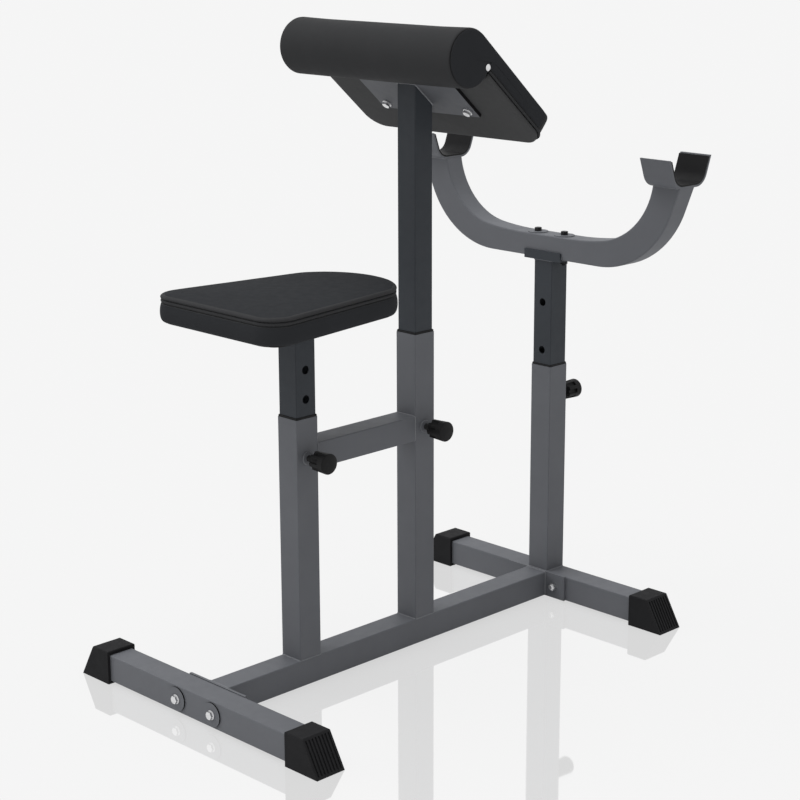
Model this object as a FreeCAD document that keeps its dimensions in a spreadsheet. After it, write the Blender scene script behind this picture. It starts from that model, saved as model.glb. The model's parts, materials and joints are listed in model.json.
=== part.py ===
import FreeCAD, Part
import os

import Sketcher
from FreeCAD import Placement, Rotation, Vector

# Preacher curl bench. +X is the user's right, +Y runs from the seat to the bar rack, +Z is up.
# The origin is on the floor, under the middle of the bench. All three posts are at their top setting.

doc = FreeCAD.newDocument("preacher_curl_bench")
sizes = doc.addObject("Spreadsheet::Sheet", "sizes")

driving = [
    ("tube", 50, "outside of the square frame tube"),
    ("tube_wall", 1.5, "wall of the frame tube"),
    ("tube_corner", 2, "outside corner radius of the frame tube"),
    ("floor_gap", 5, "frame tube above the floor, the floor of a foot cap"),
    ("stabilizer_length", 560, "stabilizer tube"),
    ("stabilizer_pitch", 897, "rear to front stabilizer, centre to centre"),
    ("cap_overlap", 38, "foot cap over the end of its tube"),
    ("cap_end_wall", 5.5, "foot cap beyond the end of its tube, along its top"),
    ("cap_slope", 35.5, "bottom of a foot cap beyond its top"),
    ("cap_side", 5.7, "side wall of a foot cap"),
    ("cap_roof", 7.5, "top wall of a foot cap"),
    ("cap_round", 2.5, "rounded edges of a foot cap"),
    ("cap_play", 0.1, "clearance of a tube in its foot cap"),
    ("cap_grooves", 8, "grooves in the sloped end of a foot cap"),
    ("cap_groove_pitch", 7.1, "groove to groove"),
    ("cap_groove_width", 3.3, "width of a groove"),
    ("cap_groove_depth", 2.6, "depth of a groove, measured level"),
    ("cap_groove_margin", 4, "height from a groove's ends to the edges"),
    ("flange_width", 150, "flange plate across the bench"),
    ("flange_rise", 1, "flange plate above the top of its stabilizer"),
    ("flange_thick", 5, "flange plate thickness"),
    ("base_bolt_margin", 27, "base bolts from the ends of the flange plate"),
    ("base_bolt", 10, "base bolt diameter"),
    ("base_hex", 17, "base bolt heads and nuts across flats"),
    ("base_head", 6.5, "base bolt head height"),
    ("base_nut", 8, "base nut height"),
    ("base_washer", 44, "base washer diameter"),
    ("base_washer_thick", 2.5, "base washer thickness"),
    ("bolt_play", 0.5, "radial clearance round a bolt in its hole"),
    ("thread_play", 0.05, "radial clearance of a nut on its bolt"),
    ("bolt_tail", 3, "bolt end beyond its nut"),
    ("seat_setback", 250, "seat post axis from the rear face of the rear stabilizer"),
    ("arm_setback", 543.4, "arm post axis from the rear face of the rear stabilizer"),
    ("seat_sleeve_height", 448.6, "seat sleeve"),
    ("arm_sleeve_height", 554, "arm sleeve"),
    ("rack_sleeve_height", 426.8, "rack sleeve"),
    ("link_drop", 48.6, "top of the link tube below the top of the seat sleeve"),
    ("link_height", 47.5, "height of the link tube"),
    ("bush_flange", 4, "height of a bush above its sleeve"),
    ("bush_inset", 0.6, "bush inside the outline of its sleeve"),
    ("bush_bevel", 1.2, "bevel round the top of a bush"),
    ("bush_depth", 40, "skirt of a bush inside its sleeve"),
    ("bush_play", 0.1, "clearance on each side of the skirt"),
    ("seat_bush_wall", 0.5, "skirt of the seat bush"),
    ("arm_bush_wall", 0.9, "skirt of the arm bush"),
    ("rack_bush_wall", 0.5, "skirt of the rack bush"),
    ("post_wall", 1.5, "wall of every post"),
    ("post_corner", 1.9, "outside corner radius of every post"),
    ("seat_show", 171.4, "seat post above its sleeve"),
    ("rack_show", 213.2, "rack post above its sleeve"),
    ("seat_lock_drop", 72, "seat lock below the top of its sleeve"),
    ("arm_lock_drop", 177.5, "arm lock below the top of its sleeve"),
    ("rack_lock_drop", 64.8, "rack lock below the top of its sleeve"),
    ("seat_post_foot", 206, "seat post below its lowest hole"),
    ("arm_post_foot", 206, "arm post below its lowest hole"),
    ("rack_post_foot", 160, "rack post below its lowest hole"),
    ("post_hole", 15.5, "lock holes in the posts"),
    ("seat_hole_pitch", 53, "seat post holes"),
    ("seat_holes", 4, "count of the seat post's holes"),
    ("arm_hole_pitch", 53, "arm post holes"),
    ("arm_holes", 4, "count of the arm post's holes"),
    ("rack_hole_pitch", 96.5, "rack post holes"),
    ("rack_holes", 3, "count of the rack post's holes"),
    ("boss", 22, "lock boss diameter"),
    ("boss_height", 3.5, "lock boss height"),
    ("stud", 12, "lock stud diameter"),
    ("stud_play", 0.05, "radial running fit of a stud"),
    ("stud_nose", 1.5, "chamfer on the nose of a stud"),
    ("stud_gap", 1.2, "nose of a stud back from the outside of its post when unlocked"),
    ("stud_socket", 20, "stud inside its grip"),
    ("grip_standoff", 22, "grip beyond its sleeve when unlocked"),
    ("grip_length", 37, "length of a grip"),
    ("grip_root", 34.5, "grip diameter next to the sleeve"),
    ("grip_end", 37.6, "grip diameter at its outer end"),
    ("grip_dome", 2.5, "rise of the grip's outer face"),
    ("grip_round", 2.5, "rounded rim of the grip's outer face"),
    ("grip_flutes", 7, "flutes round a grip"),
    ("grip_flute", 9, "flute diameter"),
    ("grip_flute_length", 21, "flutes along a grip"),
    ("seat_plate", 170, "seat plate, square"),
    ("seat_plate_thick", 5, "seat plate thickness"),
    ("seat_plate_round", 10, "corner radius of the seat plate"),
    ("seat_bolt_margin", 20, "seat bolts from the edges of their plate"),
    ("seat_board_thick", 12, "seat board thickness"),
    ("seat_board_inset", 14, "seat board inside the outline of the cushion"),
    ("seat_board_round", 20, "corner radius of the seat board"),
    ("seat_height", 47.3, "seat cushion at its edge"),
    ("seat_crown", 4.6, "rise of the seat cushion in its middle"),
    ("seat_rear", 195, "rear edge of the seat behind its post"),
    ("seat_side", 319, "straight sides of the seat, from its rear edge"),
    ("seat_rear_width", 337, "seat across its rear edge"),
    ("seat_front_width", 239, "seat across the front end of its sides"),
    ("seat_nose", 69, "nose of the seat beyond its sides"),
    ("seat_rear_round", 46, "rear corner radius of the seat"),
    ("seat_front_round", 45, "front corner radius of the seat"),
    ("seat_seam", 8, "seam of the seat below its top edge"),
    ("seat_seam_width", 1.6, "seam channel round the seat"),
    ("seat_seam_depth", 1.5, "depth of the seam channel"),
    ("seat_dome", 228, "distance from the seat post where the crown has run out"),
    ("seat_tuck", 12, "radius of the seat's drawn-in lower edge"),
    ("seat_edge", 4, "radius of the seat's top edge"),
    ("cover_gap", 0.3, "clearance between a cushion and its board"),
    ("arm_tilt", 41, "slope of the arm pad, in degrees"),
    ("arm_roll_rise", 514.8, "axis of the arm roll above the arm sleeve"),
    ("arm_roll_setback", 82, "axis of the arm roll behind the arm post"),
    ("arm_roll", 104.6, "arm roll diameter"),
    ("arm_width", 432, "arm pad across"),
    ("arm_length", 250.5, "arm pad from the roll's axis down the slope"),
    ("arm_thin", 2.5, "arm pad thinner at its lower end than along its roll"),
    ("arm_round", 40, "corner radius of the arm pad's lower end"),
    ("arm_edge", 5, "rounded side edges of the arm pad"),
    ("arm_board_thick", 9, "covered board below the arm pad"),
    ("arm_board_inset", 2.5, "arm board inside the outline of the pad"),
    ("arm_board_edge", 4, "rounded lower edges of the covered arm board"),
    ("arm_plate_width", 242, "arm plate across"),
    ("arm_plate_length", 116, "arm plate down the slope"),
    ("arm_plate_thick", 6, "arm plate thickness"),
    ("arm_plate_shift", 3, "middle of the arm plate down the slope from the post's axis"),
    ("arm_bolt_side", 19, "arm bolts from the side edges of their plate"),
    ("arm_bolt_end", 13.2, "arm bolts from the upper and lower edges of their plate, but for their shift"),
    ("arm_bolt_shift", 1.8, "arm bolts up the slope from the middle of their plate"),
    ("pad_bolt", 8, "diameter of the seat, arm and rack bolts"),
    ("pad_hex", 13, "seat, arm and rack bolts across flats"),
    ("pad_head", 5.5, "seat and arm bolt head height"),
    ("pad_washer", 18, "seat and arm washer diameter"),
    ("pad_washer_thick", 1.6, "seat and arm washer thickness"),
    ("tack", 12, "tack diameter"),
    ("tack_rise", 2.5, "tack height"),
    ("tack_along", 43, "tack from the roll's axis down the slope"),
    ("tack_above", 14, "tack above the underside of the board"),
    ("cradle_length", 92, "cradle along the rack bar"),
    ("cradle_thick", 4, "cradle sheet thickness"),
    ("cradle_wall", 13.7, "cradle walls above its floor"),
    ("bar_side", 45, "outside of the rack bar in its level middle"),
    ("bar_wall", 2, "wall of the rack bar"),
    ("bar_corner", 3, "corner radius of the rack bar"),
    ("bar_play", 0.1, "rack bar clearance in the cradle"),
    ("bar_middle", 113, "level middle of the rack bar"),
    ("bar_lead", 625, "radius where the upper side of the rack bar leaves its level middle"),
    ("bar_lead_turn", 8, "turn of that part, in degrees"),
    ("bar_inner_bend", 141, "bend radius of the rack bar's inner side"),
    ("bar_keel", 271.5, "level part of the rack bar's underside"),
    ("bar_outer_bend", 184, "bend radius of the rack bar's outer side"),
    ("bar_outer_turn", 69.3, "turn of the rack bar's outer side, in degrees"),
    ("bar_rise", 169.2, "ends of the rack bar above its underside"),
    ("rack_bolt_margin", 12, "rack bolts from the ends of the cradle"),
    ("rack_head", 7, "rack bolt head height"),
    ("rack_nut", 7, "rack nut height"),
    ("rack_washer", 40, "rack washer diameter"),
    ("rack_washer_thick", 1.6, "rack washer thickness"),
    ("cup_spread", 595.5, "cup to cup, centre to centre"),
    ("cup_length", 68, "cup along the bar"),
    ("cup_thick", 4, "cup strip thickness"),
    ("cup_floor", 85, "cup floor, from one wing's line to the other's"),
    ("cup_flare", 20, "lean of the cup's wings, in degrees"),
    ("cup_height", 55, "cup height"),
    ("cup_bend", 32, "outside bend radius of the cup"),
    ("liner_thick", 3, "cup liner thickness"),
    ("liner_drop", 2, "edge of the liner below the edge of the cup"),
    ("liner_play", 0.1, "clearance between cup and liner"),
]

for row, (alias, number, meaning) in enumerate(driving, 1):
    sizes.set(f"A{row}", meaning)
    sizes.set(f"B{row}", str(number))
    sizes.setAlias(f"B{row}", alias)
doc.recompute()

# Shared places and sizes as formulas. A name after # is a cell of the sheet.
rear_reach = "(#base_washer_thick + #base_head)"
front_reach = "(#stabilizer_pitch + #tube + #grip_standoff + #grip_length)"
rear_face = f"(({rear_reach} - {front_reach}) / 2)"
rear_axis = f"({rear_face} + #tube / 2)"
front_axis = f"({rear_axis} + #stabilizer_pitch)"
seat_axis = f"({rear_face} + #seat_setback)"
arm_axis = f"({rear_face} + #arm_setback)"
tube_middle = "(#floor_gap + #tube / 2)"
tube_top = "(#floor_gap + #tube)"
tube_end = "(#stabilizer_length / 2)"
sleeve_bore = "(#tube - 2 * #tube_wall)"
seat_sleeve_top = f"({tube_top} + #seat_sleeve_height)"
arm_sleeve_top = f"({tube_top} + #arm_sleeve_height)"
rack_sleeve_top = f"({tube_top} + #rack_sleeve_height)"
seat_lock = f"({seat_sleeve_top} - #seat_lock_drop)"
arm_lock = f"({arm_sleeve_top} - #arm_lock_drop)"
rack_lock = f"({rack_sleeve_top} - #rack_lock_drop)"
seat_post = f"({sleeve_bore} - 2 * #seat_bush_wall - 4 * #bush_play)"
arm_post = f"({sleeve_bore} - 2 * #arm_bush_wall - 4 * #bush_play)"
rack_post = f"({sleeve_bore} - 2 * #rack_bush_wall - 4 * #bush_play)"
seat_plate_under = f"({seat_sleeve_top} + #seat_show)"
seat_board_under = f"({seat_plate_under} + #seat_plate_thick)"
seat_seam_level = "(#seat_height - #seat_seam)"
lean = "(#arm_tilt * 1 deg)"
arm_roll_y = f"({arm_axis} - #arm_roll_setback)"
arm_roll_z = f"({arm_sleeve_top} + #arm_roll_rise)"
arm_plate_middle = f"(#arm_roll_setback / cos{lean} + #arm_plate_shift)"
arm_post_top = f"({arm_roll_z} - #arm_roll_setback * tan{lean} - #arm_plate_thick / cos{lean})"
cradle_under = f"({rack_sleeve_top} + #rack_show)"
bar_under = f"({cradle_under} + #cradle_thick)"
cup_under = f"({bar_under} + #bar_rise)"
cup_middle = "(#cup_spread / 2)"

upright = Rotation()
along_x = Rotation(Vector(0, 1, 0), 90)
along_y = Rotation(Vector(1, 0, 0), -90)
against_y = Rotation(Vector(1, 0, 0), 90)
downward = Rotation(Vector(1, 0, 0), 180)
half_turn = Rotation(Vector(0, 0, 1), 180)
parts = []


def spelled(formula):
    return formula.replace("#", "sizes.")


def value(formula):
    return float(sizes.evalExpression(spelled(formula)))


def bind(item, name, formula):
    item.setExpression(name, spelled(formula))


def place(item, x="0", y="0", z="0", turn=upright):
    item.Placement = Placement(Vector(), turn)
    bind(item, "Placement.Base.x", x)
    bind(item, "Placement.Base.y", y)
    bind(item, "Placement.Base.z", z)
    return item


def new_body(label):
    body = doc.addObject("PartDesign::Body", label)
    body.Label = label
    parts.append(body)
    return body


def origin_item(body, role):
    return next(item for item in body.Origin.OriginFeatures if item.Role == role)


def new_sketch(body, plane, lift="0"):
    sketch = body.newObject("Sketcher::SketchObject", body.Name + "_sketch")
    sketch.AttachmentSupport = [(origin_item(body, plane), "")]
    sketch.MapMode = "FlatFace"
    bind(sketch, "AttachmentOffset.Base.z", lift)
    return sketch


def fix_point(sketch, item, end, x, y):
    for kind, formula in (("DistanceX", x), ("DistanceY", y)):
        index = sketch.addConstraint(Sketcher.Constraint(kind, -1, 1, item, end, value(formula)))
        bind(sketch, f"Constraints[{index}]", formula)


# Each corner is (x, y), or (x, y, radius) where an arc leads on to the next corner.
# A radius with a minus sign turns the arc clockwise.
def outline(sketch, corners, closed=True):
    spots = [Vector(value(corner[0]), value(corner[1]), 0) for corner in corners]
    count = len(corners) if closed else len(corners) - 1
    pieces = []
    for step in range(count):
        first = spots[step]
        last = spots[(step + 1) % len(spots)]
        if len(corners[step]) == 2:
            pieces.append((sketch.addGeometry(Part.LineSegment(first, last)), 1, 2))
            continue
        formula = corners[step][2]
        radius = value(formula)
        chord = last - first
        half = chord.Length / 2
        side = Vector(chord.y, -chord.x, 0).normalize()
        rise = abs(radius) - (radius * radius - half * half) ** 0.5
        if radius > 0:
            bulge = first + chord * 0.5 + side * rise
            item = sketch.addGeometry(Part.Arc(first, bulge, last))
            pieces.append((item, 1, 2))
        else:
            bulge = first + chord * 0.5 - side * rise
            item = sketch.addGeometry(Part.Arc(last, bulge, first))
            pieces.append((item, 2, 1))
        index = sketch.addConstraint(Sketcher.Constraint("Radius", item, abs(radius)))
        bind(sketch, f"Constraints[{index}]", f"abs({formula})")
    for step in range(count if closed else count - 1):
        here = pieces[step]
        after = pieces[(step + 1) % count]
        sketch.addConstraint(Sketcher.Constraint("Coincident", here[0], here[2], after[0], after[1]))
    for step in range(count):
        fix_point(sketch, pieces[step][0], pieces[step][1], corners[step][0], corners[step][1])
    if not closed:
        fix_point(sketch, pieces[-1][0], pieces[-1][2], corners[-1][0], corners[-1][1])


def rounded(sketch, width, height, radius, y="0"):
    right = f"({width} / 2)"
    top = f"({height} / 2)"
    outline(sketch, [
        (right, f"{y} - {top} + {radius}"),
        (right, f"{y} + {top} - {radius}", radius),
        (f"{right} - {radius}", f"{y} + {top}"),
        (f"{radius} - {right}", f"{y} + {top}", radius),
        (f"-{right}", f"{y} + {top} - {radius}"),
        (f"-{right}", f"{y} - {top} + {radius}", radius),
        (f"{radius} - {right}", f"{y} - {top}"),
        (f"{right} - {radius}", f"{y} - {top}", radius),
    ])


def rectangle(sketch, left, right, bottom, top):
    outline(sketch, [(left, bottom), (right, bottom), (right, top), (left, top)])


def circle(sketch, diameter, x="0", y="0"):
    round_edge = Part.Circle(Vector(value(x), value(y), 0), Vector(0, 0, 1), value(diameter) / 2)
    item = sketch.addGeometry(round_edge)
    index = sketch.addConstraint(Sketcher.Constraint("Diameter", item, value(diameter)))
    bind(sketch, f"Constraints[{index}]", diameter)
    fix_point(sketch, item, 3, x, y)


def pad(body, sketch, length, symmetric=False, backward=False, taper=None):
    feature = body.newObject("PartDesign::Pad", body.Name + "_pad")
    feature.Profile = sketch
    feature.SideType = "Symmetric" if symmetric else "One side"
    feature.Reversed = backward
    bind(feature, "Length", length)
    if taper:
        bind(feature, "TaperAngle", taper)
    return feature


def pocket(body, sketch, length=None, symmetric=False, backward=False):
    feature = body.newObject("PartDesign::Pocket", body.Name + "_pocket")
    feature.Profile = sketch
    feature.SideType = "Symmetric" if symmetric else "One side"
    feature.Reversed = backward
    if length:
        bind(feature, "Length", length)
    else:
        feature.Type = "ThroughAll"
    return feature


def round_edges(body, radius, chosen, kind="Fillet", size="Radius"):
    doc.recompute()
    base = body.Tip
    names = [f"Edge{i}" for i, edge in enumerate(base.Shape.Edges, 1) if chosen(edge)]
    feature = body.newObject("PartDesign::" + kind, body.Name + "_" + kind.lower())
    feature.Base = (base, names)
    bind(feature, size, radius)
    return feature


def upright_edge(edge):
    box = edge.BoundBox
    return box.ZLength > 1e-3 and box.XLength + box.YLength < 1e-6


def level_edge(edge, height):
    box = edge.BoundBox
    return box.ZLength < 1e-3 and abs(box.ZMin - height) < 1e-3


# Square tube along its own Z axis.
def square_tube(label, width, height, wall, corner, length):
    body = new_body(label)
    sketch = new_sketch(body, "XY_Plane")
    rounded(sketch, width, height, corner)
    rounded(sketch, f"({width} - 2 * {wall})", f"({height} - 2 * {wall})", f"({corner} - {wall})")
    pad(body, sketch, length)
    return body


def hole_through(body, plane, diameter, spots):
    sketch = new_sketch(body, plane)
    for x, y in spots:
        circle(sketch, diameter, x, y)
    pocket(body, sketch, symmetric=True)


# Fasteners stand on their own Z axis, with z = 0 where a head meets what it holds.
def rod(diameter, length, z="0"):
    item = doc.addObject("Part::Cylinder", "rod")
    bind(item, "Radius", f"({diameter}) / 2")
    bind(item, "Height", length)
    return place(item, z=z)


def hexagon(flats, height, z="0"):
    item = doc.addObject("Part::Prism", "hexagon")
    item.Polygon = 6
    bind(item, "Circumradius", f"{flats} / sqrt(3)")
    bind(item, "Height", height)
    return place(item, z=z)


def combined(kind, base, tool):
    item = doc.addObject("Part::" + kind, kind.lower())
    item.Base = base
    item.Tool = tool
    return item


def bolt(flats, head, diameter, length):
    return combined("Fuse", hexagon(flats, head, f"-{head}"), rod(diameter, length))


def nut(flats, height, diameter):
    return combined("Cut", hexagon(flats, height), rod(f"{diameter} + 2 * #thread_play", height))


def washer(outside, thickness, diameter):
    return combined("Cut", rod(outside, thickness), rod(f"{diameter} + 2 * #bolt_play", thickness))


def group(label, items):
    item = doc.addObject("Part::Compound", label)
    item.Label = label
    item.Links = items
    parts.append(item)
    return item


def pair(half):
    return [(f"-{half}", "0"), (half, "0")]


def four(half_x, half_y, y="0"):
    return [(f"{a}{half_x}", f"{y} {b} {half_y}") for a in ("-", "") for b in ("-", "+")]


# Stabilizers, bored for the bolts that hold the flanges.
base_bolt_half = "(#flange_width / 2 - #base_bolt_margin)"
base_bolts = pair(base_bolt_half)
base_hole = "(#base_bolt + 2 * #bolt_play)"
for label, axis in (("rear_stabilizer", rear_axis), ("front_stabilizer", front_axis)):
    body = square_tube(label, "#tube", "#tube", "#tube_wall", "#tube_corner", "#stabilizer_length")
    bolt_spots = [("0", f"{tube_end} {sign} {base_bolt_half}") for sign in "-+"]
    sketch = new_sketch(body, "XZ_Plane")
    for x, y in bolt_spots:
        circle(sketch, base_hole, x, y)
    pocket(body, sketch, symmetric=True)
    place(body, f"-{tube_end}", axis, tube_middle, along_x)

# Main beam between the two flange plates.
beam_length = "(#stabilizer_pitch - #tube - 2 * #flange_thick)"
body = square_tube("main_beam", "#tube", "#tube", "#tube_wall", "#tube_corner", beam_length)
place(body, "0", f"{rear_axis} + #tube / 2 + #flange_thick", tube_middle, along_y)

for label, face in (("rear_flange_plate", f"{rear_axis} + #tube / 2 + #flange_thick"),
                    ("front_flange_plate", f"{front_axis} - #tube / 2")):
    body = new_body(label)
    sketch = new_sketch(body, "XZ_Plane")
    rectangle(sketch, "-#flange_width / 2", "#flange_width / 2", "0", "(#tube + #flange_rise)")
    for x, y in base_bolts:
        circle(sketch, base_hole, x, "#tube / 2")
    pad(body, sketch, "#flange_thick")
    place(body, "0", face, "#floor_gap")

# Base fasteners: heads outside, nuts on the inner faces of the flanges.
base_grip = "(#base_washer_thick + #tube + #flange_thick)"
bolt_length = f"({base_grip} + #base_nut + #bolt_tail)"
for end, face, turn, sign in (("rear", rear_face, along_y, "+"),
                              ("front", f"({front_axis} + #tube / 2)", against_y, "-")):
    bolts = []
    washers = []
    nuts = []
    for x, y in base_bolts:
        bolts.append(place(bolt("#base_hex", "#base_head", "#base_bolt", bolt_length), x))
        washers.append(place(washer("#base_washer", "#base_washer_thick", "#base_bolt"), x))
        nuts.append(place(nut("#base_hex", "#base_nut", "#base_bolt"), x))
    outside = f"{face} {'-' if sign == '+' else '+'} #base_washer_thick"
    place(group(f"{end}_base_bolts", bolts), "0", outside, tube_middle, turn)
    place(group(f"{end}_base_washers", washers), "0", outside, tube_middle, turn)
    inside = f"{face} {sign} (#tube + #flange_thick)"
    place(group(f"{end}_base_nuts", nuts), "0", inside, tube_middle, turn)

# Foot caps: a moulded shoe with a grooved slope at its outer end.
cap_half = "(#tube / 2 + #cap_side)"
cap_height = f"({tube_top} + #cap_roof)"
cap_inner = f"({tube_end} - #cap_overlap)"
cap_top = f"({tube_end} + #cap_end_wall)"
cap_toe = f"({cap_top} + #cap_slope)"
groove_low = "#cap_groove_margin"
groove_high = f"({cap_height} - #cap_groove_margin)"


def on_slope(level, inward):
    return f"{cap_toe} - #cap_slope * {level} / {cap_height} - {inward}"


for label, axis, turn in (("rear_left_cap", rear_axis, half_turn), ("rear_right_cap", rear_axis, upright),
                          ("front_left_cap", front_axis, half_turn), ("front_right_cap", front_axis, upright)):
    body = new_body(label)
    sketch = new_sketch(body, "XZ_Plane")
    outline(sketch, [(cap_inner, "0"), (cap_toe, "0"), (cap_top, cap_height), (cap_inner, cap_height)])
    pad(body, sketch, f"2 * {cap_half}", symmetric=True)
    round_edges(body, "#cap_round", lambda edge: edge.BoundBox.ZMin > 1 and not upright_edge(edge))
    sketch = new_sketch(body, "XZ_Plane")
    rectangle(sketch, cap_inner, tube_end, "#floor_gap", f"{tube_top} + #cap_play")
    pocket(body, sketch, "#tube + 2 * #cap_play", symmetric=True)
    sketch = new_sketch(body, "XZ_Plane", "(#cap_grooves - 1) * #cap_groove_pitch / 2")
    outline(sketch, [
        (on_slope(groove_low, "#cap_groove_depth"), groove_low),
        (on_slope(groove_low, "-#cap_groove_depth"), groove_low),
        (on_slope(groove_high, "-#cap_groove_depth"), groove_high),
        (on_slope(groove_high, "#cap_groove_depth"), groove_high),
    ])
    groove = pocket(body, sketch, "#cap_groove_width", symmetric=True)
    pattern = body.newObject("PartDesign::LinearPattern", label + "_grooves")
    pattern.Originals = [groove]
    pattern.Direction = (origin_item(body, "Y_Axis"), [""])
    bind(pattern, "Length", "(#cap_grooves - 1) * #cap_groove_pitch")
    bind(pattern, "Occurrences", "#cap_grooves")
    body.Tip = pattern
    place(body, "0", axis, "0", turn)

# Upright sleeves. The seat and arm locks enter from +X, the rack lock from +Y.
stud_hole = "(#stud + 2 * #bolt_play)"
for label, axis, height, lock, plane, backward in (
        ("seat_sleeve", seat_axis, "#seat_sleeve_height", seat_lock, "YZ_Plane", True),
        ("arm_sleeve", arm_axis, "#arm_sleeve_height", arm_lock, "YZ_Plane", True),
        ("rack_sleeve", front_axis, "#rack_sleeve_height", rack_lock, "XZ_Plane", False)):
    body = square_tube(label, "#tube", "#tube", "#tube_wall", "#tube_corner", height)
    sketch = new_sketch(body, plane)
    circle(sketch, stud_hole, "0", f"{lock} - {tube_top}")
    pocket(body, sketch, backward=backward)
    place(body, "0", axis, tube_top)

link_length = "(#arm_setback - #seat_setback - #tube)"
body = square_tube("link_tube", "#tube", "#link_height", "#tube_wall", "#tube_corner", link_length)
link_middle = f"{seat_sleeve_top} - #link_drop - #link_height / 2"
place(body, "0", f"{seat_axis} + #tube / 2", link_middle, along_y)

# Bushes: a bevelled flange on the sleeve and a thin skirt inside it.
for label, axis, top, post in (("seat_bush", seat_axis, seat_sleeve_top, seat_post),
                               ("arm_bush", arm_axis, arm_sleeve_top, arm_post),
                               ("rack_bush", front_axis, rack_sleeve_top, rack_post)):
    body = new_body(label)
    opening = f"({post} + 2 * #bush_play)"
    flange = "(#tube - 2 * #bush_inset)"
    skirt = f"({sleeve_bore} - 2 * #bush_play)"
    sketch = new_sketch(body, "XY_Plane")
    rounded(sketch, flange, flange, "#tube_corner")
    rounded(sketch, opening, opening, "#post_corner")
    pad(body, sketch, "#bush_flange")
    sketch = new_sketch(body, "XY_Plane")
    rounded(sketch, skirt, skirt, "(#tube_corner - #tube_wall)")
    rounded(sketch, opening, opening, "#post_corner")
    pad(body, sketch, "#bush_depth", backward=True)
    reach = (value(opening) + value(flange)) / 4
    rim_height = value("#bush_flange")
    round_edges(body, "#bush_bevel", lambda edge: level_edge(edge, rim_height) and max(
        abs(edge.CenterOfMass.x), abs(edge.CenterOfMass.y)) > reach, "Chamfer", "Size")
    place(body, "0", axis, top)

# Posts with their rows of lock holes.
for label, axis, post, lock, foot, top, plane, pitch, count in (
        ("seat_post", seat_axis, seat_post, seat_lock, "#seat_post_foot", seat_plate_under,
         "YZ_Plane", "#seat_hole_pitch", "#seat_holes"),
        ("arm_post", arm_axis, arm_post, arm_lock, "#arm_post_foot", f"({arm_post_top} + {arm_post})",
         "YZ_Plane", "#arm_hole_pitch", "#arm_holes"),
        ("rack_post", front_axis, rack_post, rack_lock, "#rack_post_foot", cradle_under,
         "XZ_Plane", "#rack_hole_pitch", "#rack_holes")):
    bottom = f"({lock} - {foot})"
    body = square_tube(label, post, post, "#post_wall", "#post_corner", f"{top} - {bottom}")
    hole_row = [("0", f"{foot} + {step} * {pitch}") for step in range(round(value(count)))]
    hole_through(body, plane, "#post_hole", hole_row)
    if label == "arm_post":
        level = f"({arm_post_top} - {bottom})"
        slant = f"{arm_post} * tan{lean}"
        over = f"{level} + {slant} + 2 * {arm_post}"
        sketch = new_sketch(body, "YZ_Plane")
        outline(sketch, [(f"-{arm_post}", f"{level} + {slant}"), (arm_post, f"{level} - {slant}"),
                         (arm_post, over), (f"-{arm_post}", over)])
        pocket(body, sketch, symmetric=True)
    place(body, "0", axis, bottom)

# Locks: boss on the sleeve, stud through it, fluted grip on the stud. Local Z points outward.
locks = (("seat", f"(#tube / 2)", seat_axis, seat_lock, seat_post, along_x),
         ("arm", f"(#tube / 2)", arm_axis, arm_lock, arm_post, along_x),
         ("rack", "0", f"({front_axis} + #tube / 2)", rack_lock, rack_post, along_y))
for name, x, y, z, post, turn in locks:
    body = new_body(name + "_boss")
    sketch = new_sketch(body, "XY_Plane")
    circle(sketch, "#boss")
    circle(sketch, "#stud + 2 * #stud_play")
    pad(body, sketch, "#boss_height")
    place(body, x, y, z, turn)

    nose = f"((#tube - {post}) / 2 - #stud_gap)"
    body = new_body(name + "_lock_stud")
    sketch = new_sketch(body, "XY_Plane", f"-{nose}")
    circle(sketch, "#stud")
    pad(body, sketch, f"{nose} + #grip_standoff + #stud_socket")
    tip = -value(nose)
    round_edges(body, "#stud_nose", lambda edge: level_edge(edge, tip), "Chamfer", "Size")
    place(body, x, y, z, turn)

    body = new_body(name + "_lock_grip")
    socket = "(#stud / 2 + #stud_play)"
    shoulder = "(#grip_length - #grip_dome)"
    dome = "(((#grip_end / 2)^2 + #grip_dome^2) / (2 * #grip_dome))"
    sketch = new_sketch(body, "XZ_Plane")
    outline(sketch, [
        (socket, "0"),
        ("#grip_root / 2", "0"),
        ("#grip_end / 2", shoulder, dome),
        ("0", "#grip_length"),
        ("0", "#stud_socket"),
        (socket, "#stud_socket"),
    ])
    turned = body.newObject("PartDesign::Revolution", name + "_grip_turned")
    turned.Profile = sketch
    turned.ReferenceAxis = (sketch, ["V_Axis"])
    rim = value(shoulder)
    round_edges(body, "#grip_round", lambda edge: level_edge(edge, rim))
    sketch = new_sketch(body, "XY_Plane")
    circle(sketch, "#grip_flute", "(#grip_root + #grip_flute / 4) / 2")
    flute = pocket(body, sketch, "#grip_flute_length", backward=True)
    pattern = body.newObject("PartDesign::PolarPattern", name + "_grip_flutes")
    pattern.Originals = [flute]
    pattern.Axis = (origin_item(body, "Z_Axis"), [""])
    pattern.Angle = 360
    bind(pattern, "Occurrences", "#grip_flutes")
    body.Tip = pattern
    if name == "rack":
        place(body, x, f"{y} + #grip_standoff", z, turn)
    else:
        place(body, f"{x} + #grip_standoff", y, z, turn)

# Seat: plate on the post, board on the plate, cushion round the board.
seat_bolt_half = "(#seat_plate / 2 - #seat_bolt_margin)"
seat_bolts = four(seat_bolt_half, seat_bolt_half)
pad_hole = "(#pad_bolt + 2 * #bolt_play)"
body = new_body("seat_plate")
sketch = new_sketch(body, "XY_Plane")
rounded(sketch, "#seat_plate", "#seat_plate", "#seat_plate_round")
for x, y in seat_bolts:
    circle(sketch, pad_hole, x, y)
pad(body, sketch, "#seat_plate_thick")
place(body, "0", seat_axis, seat_plate_under)


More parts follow.
